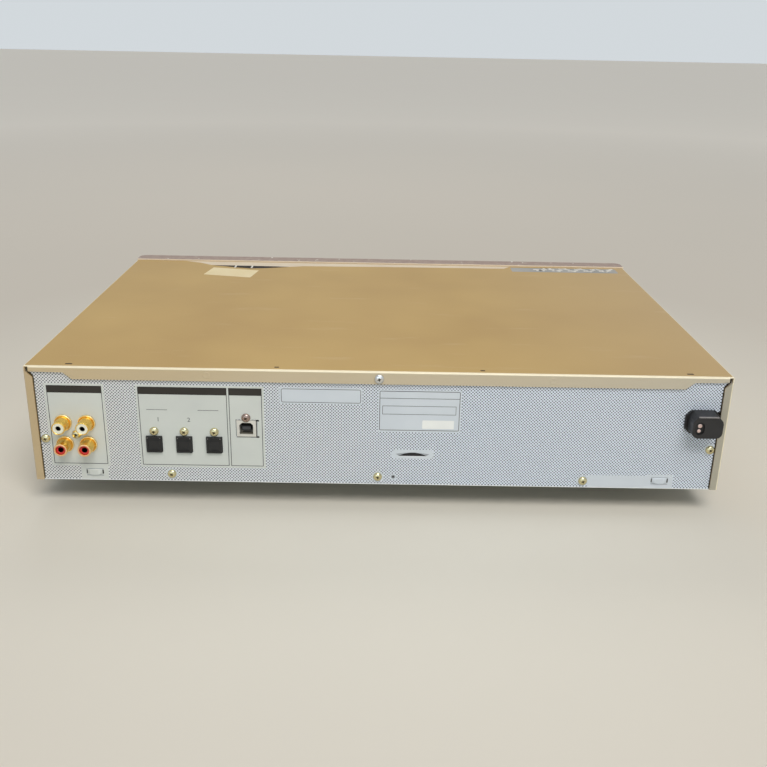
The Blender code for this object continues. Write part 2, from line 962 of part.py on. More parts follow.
def make_phones_jack():
    """Blind socket whose threaded nose is held by a nut on the panel."""
    place = (phones_jack_x, 0, low_z)
    nut_front = face_y - jack_nut_height
    nose_front = nut_front - fit_gap
    bottom = nose_front + jack_bore_depth
    shoulder = wall_y + fit_gap
    profile = [
        (0, bottom + moulding_wall / 2),
        (jack_body_radius, bottom + moulding_wall / 2),
        (jack_body_radius, shoulder),
        (jack_nose_radius, shoulder),
        (jack_nose_radius, nose_front),
        (jack_bore_radius, nose_front),
        (jack_bore_radius, bottom),
        (0, bottom),
    ]
    coat(turned("phones_jack", profile, place, "Y", 16), black_plastic)
    inner = jack_nose_radius + fit_gap
    nut_profile = [
        (inner, face_y - fit_gap),
        (jack_nut_radius, face_y - fit_gap),
        (jack_nut_radius, nut_front),
        (inner, nut_front),
    ]
    coat(turned("phones_nut", nut_profile, place, "Y", 16, closed=True), plain_steel)


def make_timer_switch():
    wide = switch_nub_width / 2
    plate_half = switch_nub_width / 2 + switch_travel + button_flange
    nub = span_block(
        "timer_switch",
        (power_x - wide, face_y - button_proud, low_z - switch_nub_height / 2),
        (power_x + wide, wall_y + button_flange_thickness, low_z + switch_nub_height / 2),
    )
    rounded(nub, edge_round / 2)
    tall = switch_plate_height / 2
    backing = span_block(
        "timer_backing",
        (power_x - plate_half, wall_y + fit_gap, low_z - tall),
        (power_x + plate_half, wall_y + fit_gap + button_flange_thickness, low_z + tall),
    )
    join(nub, backing)
    coat(nub, black_plastic)


def make_front_board():
    """Upright board behind the panel, notched round the disc slot."""
    half = cover_half - moulding_wall - button_flange
    low = cover_bottom + moulding_wall + button_flange
    top = panel_top - moulding_wall - button_flange
    notch_z = high_z - notch_drop
    left, right = slot_x - notch_width / 2, slot_x + notch_width / 2
    outer = [
        (-half, low),
        (half, low),
        (half, top),
        (right, top),
        (right, notch_z),
        (left, notch_z),
        (left, top),
        (-half, top),
    ]
    hole = ring((phones_jack_x, low_z), jack_body_radius + fit_gap, 12)
    middle = (0, board_y + board_thickness / 2, 0)
    front_board = plate("front_board", [outer, hole], board_thickness, middle, "Y")
    pots = [(jog_x, high_z), (level_x, high_z), (phones_knob_x, low_z)]
    size = (pot_size, pot_depth + board_thickness / 2, pot_size)
    y = board_y - pot_depth + size[1] / 2
    for i, (x, z) in enumerate(pots):
        join(front_board, block(f"control_{i}", size, (x, y, z)))
    coat(front_board, green_board)
    back = board_y - fit_gap
    tube = span_block(
        "display_tube",
        (tube_left, back - tube_depth, high_z - tube_height / 2),
        (tube_right, back, high_z + tube_height / 2),
    )
    coat(rounded(tube, edge_round / 2), glass)


# Rear sockets and cord entry


def make_rca_jacks():
    z = cover_bottom + rca_z
    back = rear_inner - fit_gap
    half = rca_block_width / 2
    housing = span_block(
        "rca_block",
        (rca_x - half, back - rca_block_depth, board_top + fit_gap),
        (rca_x + half, back, z + half),
    )
    coat(rounded(housing, edge_round / 2), black_plastic)
    tip = cover_back + jack_reach
    seat = rear_face + fit_gap
    for name, (x, height) in rca_places().items():
        shell_profile = [
            (rca_bore_radius, tip),
            (rca_barrel_radius - edge_round / 4, tip),
            (rca_barrel_radius, tip - edge_round / 4),
            (rca_barrel_radius, seat + rca_flange_thickness),
            (rca_flange_radius, seat + rca_flange_thickness),
            (rca_flange_radius, seat),
            (rca_bore_radius, seat),
        ]
        shell = turned(f"rca_shell_{name}", shell_profile, (x, 0, height), "Y", 24, closed=True)
        coat(shell, gold_plate)
        sleeve = rca_bore_radius - fit_gap
        insulator_profile = [
            (0, rear_face),
            (rca_pin_radius, rear_face),
            (rca_pin_radius, tip - rca_recess),
            (sleeve, tip - rca_recess),
            (sleeve, rear_inner),
            (0, rear_inner),
        ]
        insulator = turned(f"rca_insulator_{name}", insulator_profile, (x, 0, height), "Y", 16)
        coat(insulator, white_plastic if name.endswith("left") else red_plastic)


def make_optical_sockets():
    """Square light sockets, each with a sprung shutter hinged inside its mouth."""
    face = rear_face + optical_proud
    back = rear_inner - fit_gap
    half = optical_width / 2
    for name, (x, z) in optical_places().items():
        low = z - optical_height / 2
        socket = span_block(
            f"optical_socket_{name}",
            (x - half, face - optical_depth, low),
            (x + half, face, z + optical_height / 2),
        )
        rounded(socket, edge_round / 4)
        boss = span_block(
            f"optical_boss_{name}",
            (x - half, face - optical_depth, board_top + fit_gap),
            (x + half, back, cover_bottom + optical_boss_top),
        )
        inner = half - optical_wall
        inner_up = optical_height / 2 - optical_wall
        mouth = span_block(
            f"optical_mouth_{name}",
            (x - inner, face - optical_cavity_depth, z - inner_up),
            (x + inner, face + overrun, z + inner_up),
        )
        join(socket, boss)
        cut(socket, mouth)
        coat(socket, black_plastic)
        axis_y = face - shutter_setback - shutter_thickness / 2
        axis_z = z + inner_up - shutter_axis_drop
        across = inner - fit_gap
        shutter = span_block(
            f"optical_shutter_{name}",
            (x - across, axis_y - shutter_thickness / 2, z - inner_up + fit_gap),
            (x + across, axis_y + shutter_thickness / 2, axis_z + shutter_thickness / 4),
        )
        coat(shutter, black_plastic)
        on_axis(shutter, f"optical_shutter_{name}_axis", (x, axis_y, axis_z))


def usb_opening():
    """The opening is square at the bottom and has two cut corners at the top."""
    half, up = usb_opening_width / 2, usb_opening_height / 2
    z = cover_bottom + usb_z
    trim = usb_opening_chamfer
    return [
        (usb_x - half, z - up),
        (usb_x + half, z - up),
        (usb_x + half, z + up - trim),
        (usb_x + half - trim, z + up),
        (usb_x - half + trim, z + up),
        (usb_x - half, z + up - trim),
    ]


def make_usb_socket():
    """Metal shell with a contact tongue that stands on a moulded base."""
    z = cover_bottom + usb_z
    face = rear_face + usb_proud
    outer = centred((usb_x, z), usb_width, usb_height)
    shell = plate("usb_shell", [outer, usb_opening()], usb_depth, (0, face - usb_depth / 2, 0), "Y")
    coat(shell, plain_steel)
    back = face - usb_depth - fit_gap
    half = usb_width / 2
    base = span_block(
        "usb_insert",
        (usb_x - half, back - usb_floor, board_top + fit_gap),
        (usb_x + half, back, z + usb_height / 2),
    )
    foot = span_block(
        "usb_foot",
        (usb_x - half, back - usb_floor, board_top + fit_gap),
        (usb_x + half, rear_inner - fit_gap, z - usb_height / 2 - fit_gap),
    )
    tongue = span_block(
        "usb_tongue",
        (usb_x - usb_tongue_width / 2, back - usb_floor / 2, z - usb_tongue_height / 2),
        (usb_x + usb_tongue_width / 2, face - edge_round, z + usb_tongue_height / 2),
    )
    join(base, foot, tongue)
    coat(base, black_plastic)


def chamfered(centre, width, height, trim):
    half, up = width / 2, height / 2
    x, z = centre
    return [
        (x - half + trim, z - up),
        (x + half - trim, z - up),
        (x + half, z - up + trim),
        (x + half, z + up - trim),
        (x + half - trim, z + up),
        (x - half + trim, z + up),
        (x - half, z + up - trim),
        (x - half, z - up + trim),
    ]


def make_cord_entry():
    """Strain relief in the panel notch, with the mains cord cut off flush in it."""
    z = cover_bottom + cord_z
    tip = cover_back + cord_reach
    cord_hole_x = cord_x + cord_offset
    seat = rear_face + fit_gap
    nose_y = (seat + tip) / 2
    nose_outline = rounded_rectangle((cord_x, z), bushing_width, bushing_height, bushing_chamfer, 3)
    bushing = plate("cord_bushing", [nose_outline], tip - seat, (0, nose_y, 0), "Y")
    flange_outline = chamfered(
        (cord_x, z), bushing_flange_width, bushing_flange_height, bushing_chamfer
    )
    flange_y = seat + bushing_flange_thickness / 2
    flange = plate(
        "bushing_flange", [flange_outline], bushing_flange_thickness, (0, flange_y, 0), "Y"
    )
    neck_outer = cord_x - bushing_width / 2
    inner_back = rear_inner - fit_gap - bushing_inner_depth
    neck = span_block(
        "bushing_neck",
        (neck_outer, inner_back, z - bushing_neck_height / 2),
        (notch_inner_x - fit_gap, flange_y, z + bushing_neck_height / 2),
    )
    grip = span_block(
        "bushing_grip",
        (neck_outer, inner_back, z - bushing_flange_height / 2),
        (neck_outer + bushing_flange_width, rear_inner - fit_gap, z + bushing_flange_height / 2),
    )
    radius = cord_width / 2 - fit_gap / 100
    cord_outline = rounded_rectangle((cord_hole_x, z), cord_width, cord_height, radius, 4)
    hole_outline = rounded_rectangle(
        (cord_hole_x, z), cord_width + 2 * fit_gap, cord_height + 2 * fit_gap, radius + fit_gap, 4
    )
    length = tip - inner_back + cord_tail
    hole = plate("cord_hole", [hole_outline], length + 2 * overrun, (0, tip - length / 2, 0), "Y")
    join(bushing, flange, neck, grip)
    cut(bushing, hole)
    coat(bushing, black_plastic)
    flush = edge_round
    stub = plate("cord_stub", [cord_outline], length, (0, tip - flush - length / 2, 0), "Y")
    coat(stub, rubber)


# Boards and power supply


def make_main_board():
    rear = rear_inner - main_board_gap
    x, wide, deep = main_board_x, main_board_width, main_board_depth
    main = span_block(
        "main_board", (x - wide / 2, rear - deep, board_z), (x + wide / 2, rear, board_top)
    )
    chip_shares = [
        (-0.30, -0.25, 0.11),
        (-0.05, -0.30, 0.09),
        (0.22, -0.22, 0.12),
        (0.05, 0.02, 0.14),
    ]
    z = board_top + chip_height / 2 - board_thickness / 4
    for i, (across_share, along_share, size_share) in enumerate(chip_shares):
        side = size_share * wide
        place = (x + across_share * wide, rear - deep / 2 + along_share * deep, z)
        join(main, block(f"chip_{i}", (side, side, chip_height + board_thickness / 2), place))
    coat(main, green_board)


def sink_outline():
    """A heat sink's section: a base with a row of fins."""
    span = (fin_count - 1) * fin_pitch
    end = span / 2 + fin_thickness / 2
    points = [(-end, -sink_base), (end, -sink_base)]
    for i in reversed(range(fin_count)):
        x = i * fin_pitch - span / 2
        right, left = x + fin_thickness / 2, x - fin_thickness / 2
        points += [(right, fin_length), (left, fin_length)]
        if i:
            points += [(left, 0), (left - fin_pitch + fin_thickness, 0)]
    return points


def make_power_board():
    rear = rear_inner - main_board_gap
    x, wide, deep = power_board_x, power_board_width, power_board_depth
    power = span_block(
        "power_board", (x - wide / 2, rear - deep, board_z), (x + wide / 2, rear, board_top)
    )
    low = board_z + board_thickness / 2
    sink = plate("heat_sink", [sink_outline()], sink_height, (0, 0, 0), "Z")
    sink.location = (x, rear - deep / 3, low + sink_height / 2)
    join(power, sink)
    can_y = rear - deep + wide / 4
    for side, name in ((-1, "capacitor_left"), (1, "capacitor_right")):
        spot = (x + side * wide / 4, can_y)
        join(power, rod(name, can_radius, low, low + can_height, "Z", spot, 16))
    coat(power, amber_plastic)


def make_transformer():
    """Laminated core with two windows, and the coil that fills them round the middle leg."""
    low = floor_z + fit_gap
    z = low + core_height / 2
    centre = (transformer_x, z)
    leg = core_leg_width / 2 + core_window_width / 2
    windows = [
        centred((transformer_x + side * leg, z), core_window_width, core_window_height)
        for side in (-1, 1)
    ]
    outer = centred(centre, core_width, core_height)
    core = plate("transformer_core", [outer, *windows], core_depth, (0, transformer_y, 0), "Y")
    coat(core, plain_steel)
    gap = 2 * coil_clearance
    wide = core_leg_width + 2 * core_window_width - gap
    place = (transformer_x, transformer_y)
    coil_outer = rounded_rectangle(place, wide, coil_depth, core_window_width / 2, 3)
    coil_hole = centred(place, core_leg_width + gap, core_depth + gap)
    coil_height = core_window_height - gap
    coil = plate("transformer_coil", [coil_outer, coil_hole], coil_height, (0, 0, z), "Z")
    coat(coil, winding_tape)


# Disc mechanism

deck_front = face_y + deck_front_setback
deck_top = high_z - deck_drop
deck_half = holder_width / 2 + holder_clearance + deck_wall
hub_y = deck_front + hub_setback
rod_z = deck_top + rod_rise
sled_front = hub_y + turntable_radius + sled_rise
slider_x = slot_x + deck_half + fit_gap
gear_radius = gear_module * gear_teeth / 2
cam_slope = holder_drop / slider_travel
cam_room = pin_radius + pin_slot_clearance
cam_bow = cam_room * math.sqrt(1 + cam_slope * cam_slope)
cam_foot = high_z - holder_drop - 2 * cam_room * cam_slope - cam_bow
slider_low = cam_foot - slider_web - gear_module / 4
axle_z = slider_low - gear_module - gear_radius
axle_y = deck_front + deck_length / 2


def pin_ys():
    return (hub_y - pin_spread / 2, hub_y + pin_spread / 2)


def make_mechanism_frame():
    """Deck plate on four legs, with side walls that guide the holder's pins."""
    deck = span_block(
        "mechanism_frame",
        (slot_x - deck_half, deck_front, deck_top - deck_thickness),
        (slot_x + deck_half, deck_front + deck_length, deck_top),
    )
    pieces = []
    for side, name in ((-1, "left"), (1, "right")):
        inner = slot_x + side * (deck_half - deck_wall)
        outer = slot_x + side * deck_half
        low = (min(inner, outer), deck_front, deck_top - deck_thickness / 2)
        high = (max(inner, outer), deck_front + holder_length, high_z + deck_wall_top)
        pieces.append(span_block(f"deck_wall_{name}", low, high))
        leg_ys = {"front": deck_front + leg_size, "rear": deck_front + deck_length - leg_size}
        for row, y in leg_ys.items():
            x = min(slot_x + side * deck_half, slot_x + side * (deck_half - leg_size))
            leg_low = (x, y, floor_z + fit_gap)
            leg_high = (x + leg_size, y + leg_size, deck_top - deck_thickness / 2)
            pieces.append(span_block(f"leg_{row}_{name}", leg_low, leg_high))
    motor_top = deck_top - deck_thickness / 2
    hub = (slot_x, hub_y)
    motor = rod("spindle_motor", motor_radius, motor_top - motor_height, motor_top, "Z", hub)
    front_y = sled_front - bearing_size / 2 - fit_gap
    rear_y = sled_front + sled_length + sled_travel + bearing_size
    for side in (-1, 1):
        x = slot_x + side * rod_offset
        for place, y in (("front", front_y), ("rear", rear_y)):
            size = (bearing_size, bearing_size / 2, bearing_size)
            middle = (x, y, deck_top + bearing_size / 2 - deck_thickness / 4)
            tag = f"bearing_{place}_{'right' if side > 0 else 'left'}"
            pieces.append(block(tag, size, middle))
    guide_x = slot_x + rod_offset
    guide = rod("guide_rod", rod_radius, front_y, rear_y, "Y", (guide_x, rod_z), 10)
    axle_tip = slider_x + slider_thickness + gear_width
    axle_root = slot_x + deck_half - deck_wall / 2
    axle = rod("gear_axle", axle_radius, axle_root, axle_tip, "X", (axle_y, axle_z), 10)
    join(deck, *pieces, motor, guide, axle)
    bore = rod(
        "spindle_bore",
        shaft_radius + shaft_clearance,
        deck_top - deck_thickness - motor_height / 2,
        deck_top + overrun,
        "Z",
        hub,
        12,
    )
    slot = pin_radius + pin_slot_clearance
    slot_low = high_z - holder_drop - slot
    slots = [
        (slot_x, y, (slot_low + high_z + deck_wall_top + overrun) / 2) for y in pin_ys()
    ]
    size = (2 * deck_half + overrun, 2 * slot, high_z + deck_wall_top + overrun - slot_low)
    screw_x = slot_x - rod_offset
    screw_hole = rod(
        "screw_hole",
        rod_radius + fit_gap,
        front_y - overrun,
        rear_y + overrun,
        "Y",
        (screw_x, rod_z),
        10,
    )
    cut(deck, bore, blocks("pin_slots", size, slots), screw_hole)
    coat(deck, plain_steel)


def make_holder():
    """Sheet cradle for the cartridge: two rails, two sides and a roof notched for the head."""
    half, up = holder_width / 2, holder_height / 2
    thick = holder_sheet
    right = [
        (half - holder_rail, -up),
        (half, -up),
        (half, up),
    ]
    inside = [
        (half - holder_rail, -up + thick),
        (half - thick, -up + thick),
        (half - thick, up - thick),
    ]
    section = right + mirrored(right) + list(reversed(mirrored(inside))) + list(reversed(inside))
    middle = (slot_x, deck_front + fit_gap + holder_length / 2, high_z)
    holder = plate("cartridge_holder", [section], holder_length, middle, "Y")
    for i, y in enumerate(pin_ys()):
        for side in (-1, 1):
            inner = slot_x + side * (half - thick / 2)
            reach = deck_half + (slider_thickness + 2 * fit_gap if side > 0 else 0)
            outer = slot_x + side * reach
            tag = f"holder_pin_{i}_{'right' if side > 0 else 'left'}"
            join(holder, rod(tag, pin_radius, inner, outer, "X", (y, high_z), 10))
    notch = arm_width / 2 + head_notch_gap
    notch_front = deck_front + holder_length - arm_reach + 2 * arm_post_depth
    low = (slot_x - notch, notch_front, high_z)
    high = (slot_x + notch, middle[1] + holder_length, high_z + holder_height)
    cut(holder, span_block("head_notch", low, high))
    coat(holder, plain_steel)


def rack_outline():
    """The slider's lower edge carries rack teeth that mesh with the gear."""
    pitch = math.pi * gear_module
    y_low = hub_y - slider_length / 2
    count = int(slider_length / pitch)
    width = pitch / 2 - tooth_backlash
    base, tip = rack_base_share * width, rack_tip_share * width
    root_z, tip_z = slider_low + gear_module / 4, slider_low - gear_module
    points = []
    first = axle_y - pitch * round((axle_y - y_low) / pitch) + pitch / 2
    for i in range(count + 1):
        y = first + i * pitch
        if y - width < y_low or y + width > y_low + slider_length:
            continue
        points += [(y - base, root_z), (y - tip, tip_z), (y + tip, tip_z), (y + base, root_z)]
    return points


def make_slider():
    """Cam plate that lifts and lowers the holder by its two sloping slots."""
    y_low = hub_y - slider_length / 2
    y_high = y_low + slider_length
    root = slider_low + gear_module / 4
    top = high_z + slider_rise
    outer = [(y_low, root), *rack_outline(), (y_high, root), (y_high, top), (y_low, top)]
    z_ahead, z_behind = high_z + 2 * cam_room * cam_slope, cam_foot + cam_bow
    holes = []
    for y in pin_ys():
        ahead, behind = y + 2 * cam_room, y - slider_travel - 2 * cam_room
        hole = [(behind, cam_foot), (ahead, z_ahead - cam_bow)]
        holes.append(hole + [(ahead, z_ahead + cam_bow), (behind, z_behind + cam_bow)])
    middle = (slider_x + slider_thickness / 2, 0, 0)
    slider = plate("loading_slider", [outer, *holes], slider_thickness, middle, "X")
    coat(slider, white_plastic)


def make_gear():
    """Spur gear that drives the slider's rack."""
    outer, root = gear_radius + gear_module, gear_radius - gear_module * tooth_base_share
    step = 2 * math.pi / gear_teeth
    half = step / 4 - tooth_backlash / 2 / gear_radius
    tip = half * tooth_tip_share
    base = half * tooth_base_share
    points = []
    for i in range(gear_teeth):
        middle = math.pi / 2 + i * step
        for offset, radius in ((-base, root), (-tip, outer), (tip, outer), (base, root)):
            angle = middle + offset
            points.append((axle_y + radius * math.cos(angle), axle_z + radius * math.sin(angle)))
    hole = ring((axle_y, axle_z), axle_radius + fit_gap, 10)
    middle_x = slider_x + gear_width / 2
    gear = plate("loading_gear", [points, hole], gear_width, (middle_x, 0, 0), "X")
    coat(gear, white_plastic)
    on_axis(gear, "loading_gear_axis", (middle_x, axle_y, axle_z))


def make_turntable():
    top = deck_top + turntable_rise
    profile = [
        (0, top + hub_rise),
        (hub_radius - edge_round / 2, top + hub_rise),
        (hub_radius, top + hub_rise / 2),
        (hub_radius, top),
        (turntable_radius, top),
        (turntable_radius, top - turntable_thickness),
        (hub_radius, top - turntable_thickness),
        (hub_radius, deck_top + fit_gap),
        (shaft_radius, deck_top + fit_gap),
        (shaft_radius, deck_top - deck_thickness - motor_height / 2 + fit_gap),
        (0, deck_top - deck_thickness - motor_height / 2 + fit_gap),
    ]
    table = turned("turntable", profile, (slot_x, hub_y, 0), sides=20)
    coat(table, plain_steel)


def make_sled():
    """Pickup sled that slides along the guide rod and is driven by the lead screw."""
    low = deck_top + sled_rise
    sled = span_block(
        "pickup_sled",
        (slot_x - sled_width / 2, sled_front, low),
        (slot_x + sled_width / 2, sled_front + sled_length, low + sled_height),
    )
    top = low + sled_height
    lens_y = sled_front + sled_length / 4
    lens_low, lens_high = low + sled_height / 2, top + lens_height
    lens = rod("lens", lens_radius, lens_low, lens_high, "Z", (slot_x, lens_y), 16)
    back = sled_front + sled_length
    arm_z = deck_top + arm_axis_rise
    post = span_block(
        "sled_post",
        (slot_x - arm_width / 2, back - arm_post_depth / 2, low),
        (slot_x + arm_width / 2, back + arm_post_depth / 2 + sled_length / 2, top),
    )
    post_y = deck_front + holder_length + 2 * arm_post_depth
    upright = span_block(
        "sled_upright",
        (slot_x - arm_width / 2, post_y, low),
        (slot_x + arm_width / 2, post_y + arm_post_depth, arm_z - arm_thickness - fit_gap),
    )
    join(sled, lens, post, upright)
    front, rear = sled_front - overrun, back + sled_length
    bore = rod_radius + rod_clearance
    for side, name in ((-1, "screw_bore"), (1, "rod_bore")):
        cut(sled, rod(name, bore, front, rear, "Y", (slot_x + side * rod_offset, rod_z), 10))
    coat(sled, black_plastic)


def make_head_arm():
    """Arm over the cartridge that lowers the recording head as the holder drops."""
    axis_z = deck_top + arm_axis_rise
    arm_z = axis_z + arm_lift
    post_y = deck_front + holder_length + 2 * arm_post_depth + arm_post_depth / 2
    left, right = slot_x - arm_width / 2, slot_x + arm_width / 2
    half = arm_thickness / 2
    arm = span_block(
        "head_arm",
        (left, post_y - arm_reach, arm_z - half),
        (right, post_y + arm_post_depth / 2, arm_z + half),
    )
    hinge = rod("arm_hinge", arm_thickness, left, right, "X", (post_y, axis_z), 12)
    web = span_block(
        "arm_web", (left, post_y - half, axis_z), (right, post_y + half, arm_z)
    )
    tip = post_y - arm_reach
    head = span_block(
        "recording_head",
        (left + edge_round, tip + edge_round, arm_z - half - head_drop),
        (right - edge_round, tip + head_length, arm_z),
    )
    join(arm, web, hinge, head)
    coat(arm, plain_steel)
    on_axis(arm, "head_arm_axis", (slot_x, post_y, axis_z))


def make_lead_screw():
    start = sled_front - bearing_size / 2 - fit_gap
    end = sled_front + sled_length + sled_travel + bearing_size
    screw = rod("lead_screw", rod_radius, start, end, "Y", (slot_x - rod_offset, rod_z), 12)
    coat(screw, plain_steel)


make_cover()
make_pan()
make_feet()
make_rear_panel()
make_front_panel()
make_window()
make_slot_door()
make_buttons()
make_level_knob("level_knob", level_x, high_z, level_radius, level_proud)
make_level_knob("phones_knob", phones_knob_x, low_z, phones_knob_radius, phones_knob_proud)
make_jog()
make_phones_jack()
make_timer_switch()
make_front_board()
make_rca_jacks()
make_optical_sockets()
make_usb_socket()
make_cord_entry()
make_main_board()
make_power_board()
make_transformer()
make_mechanism_frame()
make_holder()
make_slider()
make_gear()
make_turntable()
make_sled()
make_head_arm()
make_lead_screw()
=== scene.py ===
import json
import math

import bmesh
import bpy
from mathutils import Euler, Matrix, Vector


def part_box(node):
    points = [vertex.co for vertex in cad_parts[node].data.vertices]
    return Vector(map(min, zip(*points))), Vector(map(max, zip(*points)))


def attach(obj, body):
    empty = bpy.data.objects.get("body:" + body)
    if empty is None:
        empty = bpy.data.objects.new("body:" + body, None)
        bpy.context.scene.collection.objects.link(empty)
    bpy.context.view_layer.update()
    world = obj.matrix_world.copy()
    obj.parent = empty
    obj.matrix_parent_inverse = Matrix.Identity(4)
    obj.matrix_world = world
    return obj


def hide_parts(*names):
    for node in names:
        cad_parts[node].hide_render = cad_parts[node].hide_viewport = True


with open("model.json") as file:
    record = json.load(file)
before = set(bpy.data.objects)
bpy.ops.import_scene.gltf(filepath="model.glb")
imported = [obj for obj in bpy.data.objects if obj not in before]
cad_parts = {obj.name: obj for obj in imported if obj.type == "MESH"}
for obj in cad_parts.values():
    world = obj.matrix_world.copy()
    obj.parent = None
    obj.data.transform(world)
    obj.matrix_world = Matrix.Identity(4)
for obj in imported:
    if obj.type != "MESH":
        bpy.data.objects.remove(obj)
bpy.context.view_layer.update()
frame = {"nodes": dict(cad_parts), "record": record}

# The minidisc deck seen from behind. Lengths here are in millimetres in the CAD frame: +X is the
# picture's left, +Y the back, +Z up. Pieces are made in metres, in place.

nodes = frame["nodes"]
mm = 0.001


def edges(node):
    """A node's lowest and highest corners, in millimetres."""
    return [Vector(corner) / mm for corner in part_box(node)]


def middle(node):
    low, high = edges(node)
    return (low + high) / 2


panel_y = edges("rear_panel")[1].y
base = edges("rear_panel")[0].z
cover_low, cover_high = edges("top_cover")
front_y = edges("front_panel")[0].y


# Node materials


full_channel = 255
toe_end = 0.04045
toe_slope = 12.92
curve_offset = 0.055
curve_power = 2.4


def linear(share):
    """The linear value of one sRGB channel from 0 to 1."""
    if share <= toe_end:
        return share / toe_slope
    return ((share + curve_offset) / (1 + curve_offset)) ** curve_power


def colour(red, green, blue):
    """Linear colour from a 0 to 255 one."""
    return [linear(channel / full_channel) for channel in (red, green, blue)] + [1.0]


noise_roughness = 0.55
half_cell = 0.5


class Nodes:
    """A node tree, with short calls for the nodes that this script uses."""

    def __init__(self, tree):
        self.tree = tree

    def put(self, kind, inputs=None, **settings):
        """A new node. Its inputs are values or other nodes' outputs, by name or number."""
        node = self.tree.nodes.new("ShaderNode" + kind)
        for key, value in settings.items():
            setattr(node, key, value)
        for key, value in (inputs or {}).items():
            self.plug(node.inputs[key], value)
        return node

    def plug(self, socket, value):
        if isinstance(value, bpy.types.NodeSocket):
            self.tree.links.new(value, socket)
        else:
            socket.default_value = value

    def math(self, operation, *values):
        return self.put("Math", dict(enumerate(values)), operation=operation).outputs[0]

    def ramp(self, value, low, high, start=0.0, end=1.0):
        """value, taken from low..high to start..end and held there."""
        inputs = {"Value": value, 1: low, 2: high, 3: start, 4: end}
        return self.put("MapRange", inputs, clamp=True).outputs[0]

    def seen(self):
        """1 where a ray comes from the camera, a gloss or a clear piece."""
        rays = self.put("LightPath").outputs
        share = rays["Is Camera Ray"]
        for kind in ("Is Glossy Ray", "Is Transmission Ray"):
            share = self.math("MAXIMUM", share, rays[kind])
        return share


class Finish(Nodes):
    """A material's nodes. Its lengths are in millimetres."""

    def __init__(self, name, roughness=0.5, metallic=0.0, specular=0.5):
        self.material = bpy.data.materials.new(name)
        self.material.use_nodes = True
        super().__init__(self.material.node_tree)
        self.shader = self.tree.nodes["Principled BSDF"]
        self.place = self.put("TexCoord").outputs["Object"]
        self.set(Roughness=roughness, Metallic=metallic, Specular_IOR_Level=specular)

    def set(self, **sockets):
        for key, value in sockets.items():
            self.plug(self.shader.inputs[key.replace("_", " ")], value)
        return self

    def stretched(self, scale):
        """Object coordinates times a scale of each axis."""
        by = [s / mm for s in scale]
        return self.put("Mapping", {"Vector": self.place, "Scale": by}).outputs[0]

    def axes(self):
        """The object's x, y and z."""
        return self.put("SeparateXYZ", {0: self.stretched((1, 1, 1))}).outputs

    def noise(self, size, detail=3.0, stretch=(1, 1, 1)):
        """Noise whose features are about size across."""
        inputs = {"Vector": self.stretched([s / size for s in stretch])}
        inputs.update({"Scale": 1.0, "Detail": detail, "Roughness": noise_roughness})
        return self.put("TexNoise", inputs).outputs["Fac"]

    def mottle(self, size, detail=3.0, start=0.0, end=1.0):
        """Noise spread from start to end."""
        return self.ramp(self.noise(size, detail), 0.3, 0.7, start, end)

    def cells(self, axis, per_mm):
        """0 to 1 over each of so many cells a millimetre along an axis."""
        return self.math("FRACT", self.math("MULTIPLY", axis, per_mm))

    def from_middle(self, cell):
        return self.math("ABSOLUTE", self.math("SUBTRACT", cell, half_cell))

    def mix(self, share, first, second):
        """The first colour, with as much of the second as share says. Tuples go from 0 to 255."""
        first, second = (colour(*c) if isinstance(c, tuple) else c for c in (first, second))
        node = self.put("Mix", data_type="RGBA")
        for name, value in (("Factor", share), ("A", first), ("B", second)):
            sockets = [s for s in node.inputs if s.name == name and s.enabled]
            self.plug(sockets[0], value)
        return [s for s in node.outputs if s.enabled][0]

    def bump(self, height, depth, strength=1.0):
        inputs = {"Height": height, "Distance": depth * mm, "Strength": strength}
        return self.put("Bump", inputs).outputs[0]


fold_radius = 1.2
flange_inner = 209.0
flange_head = 92.0
flange_blend = 0.5
rear_depth = 0.6
rear_blend = 0.1
grey_from, grey_to, grey_most = -60, -215, 0.55
across_half = 200
corner_highlight_half = 60
highlight_start, highlight_end = 0.04, 0.14
mottle_size, grain_size, scuff_size = 90, 0.5, 14


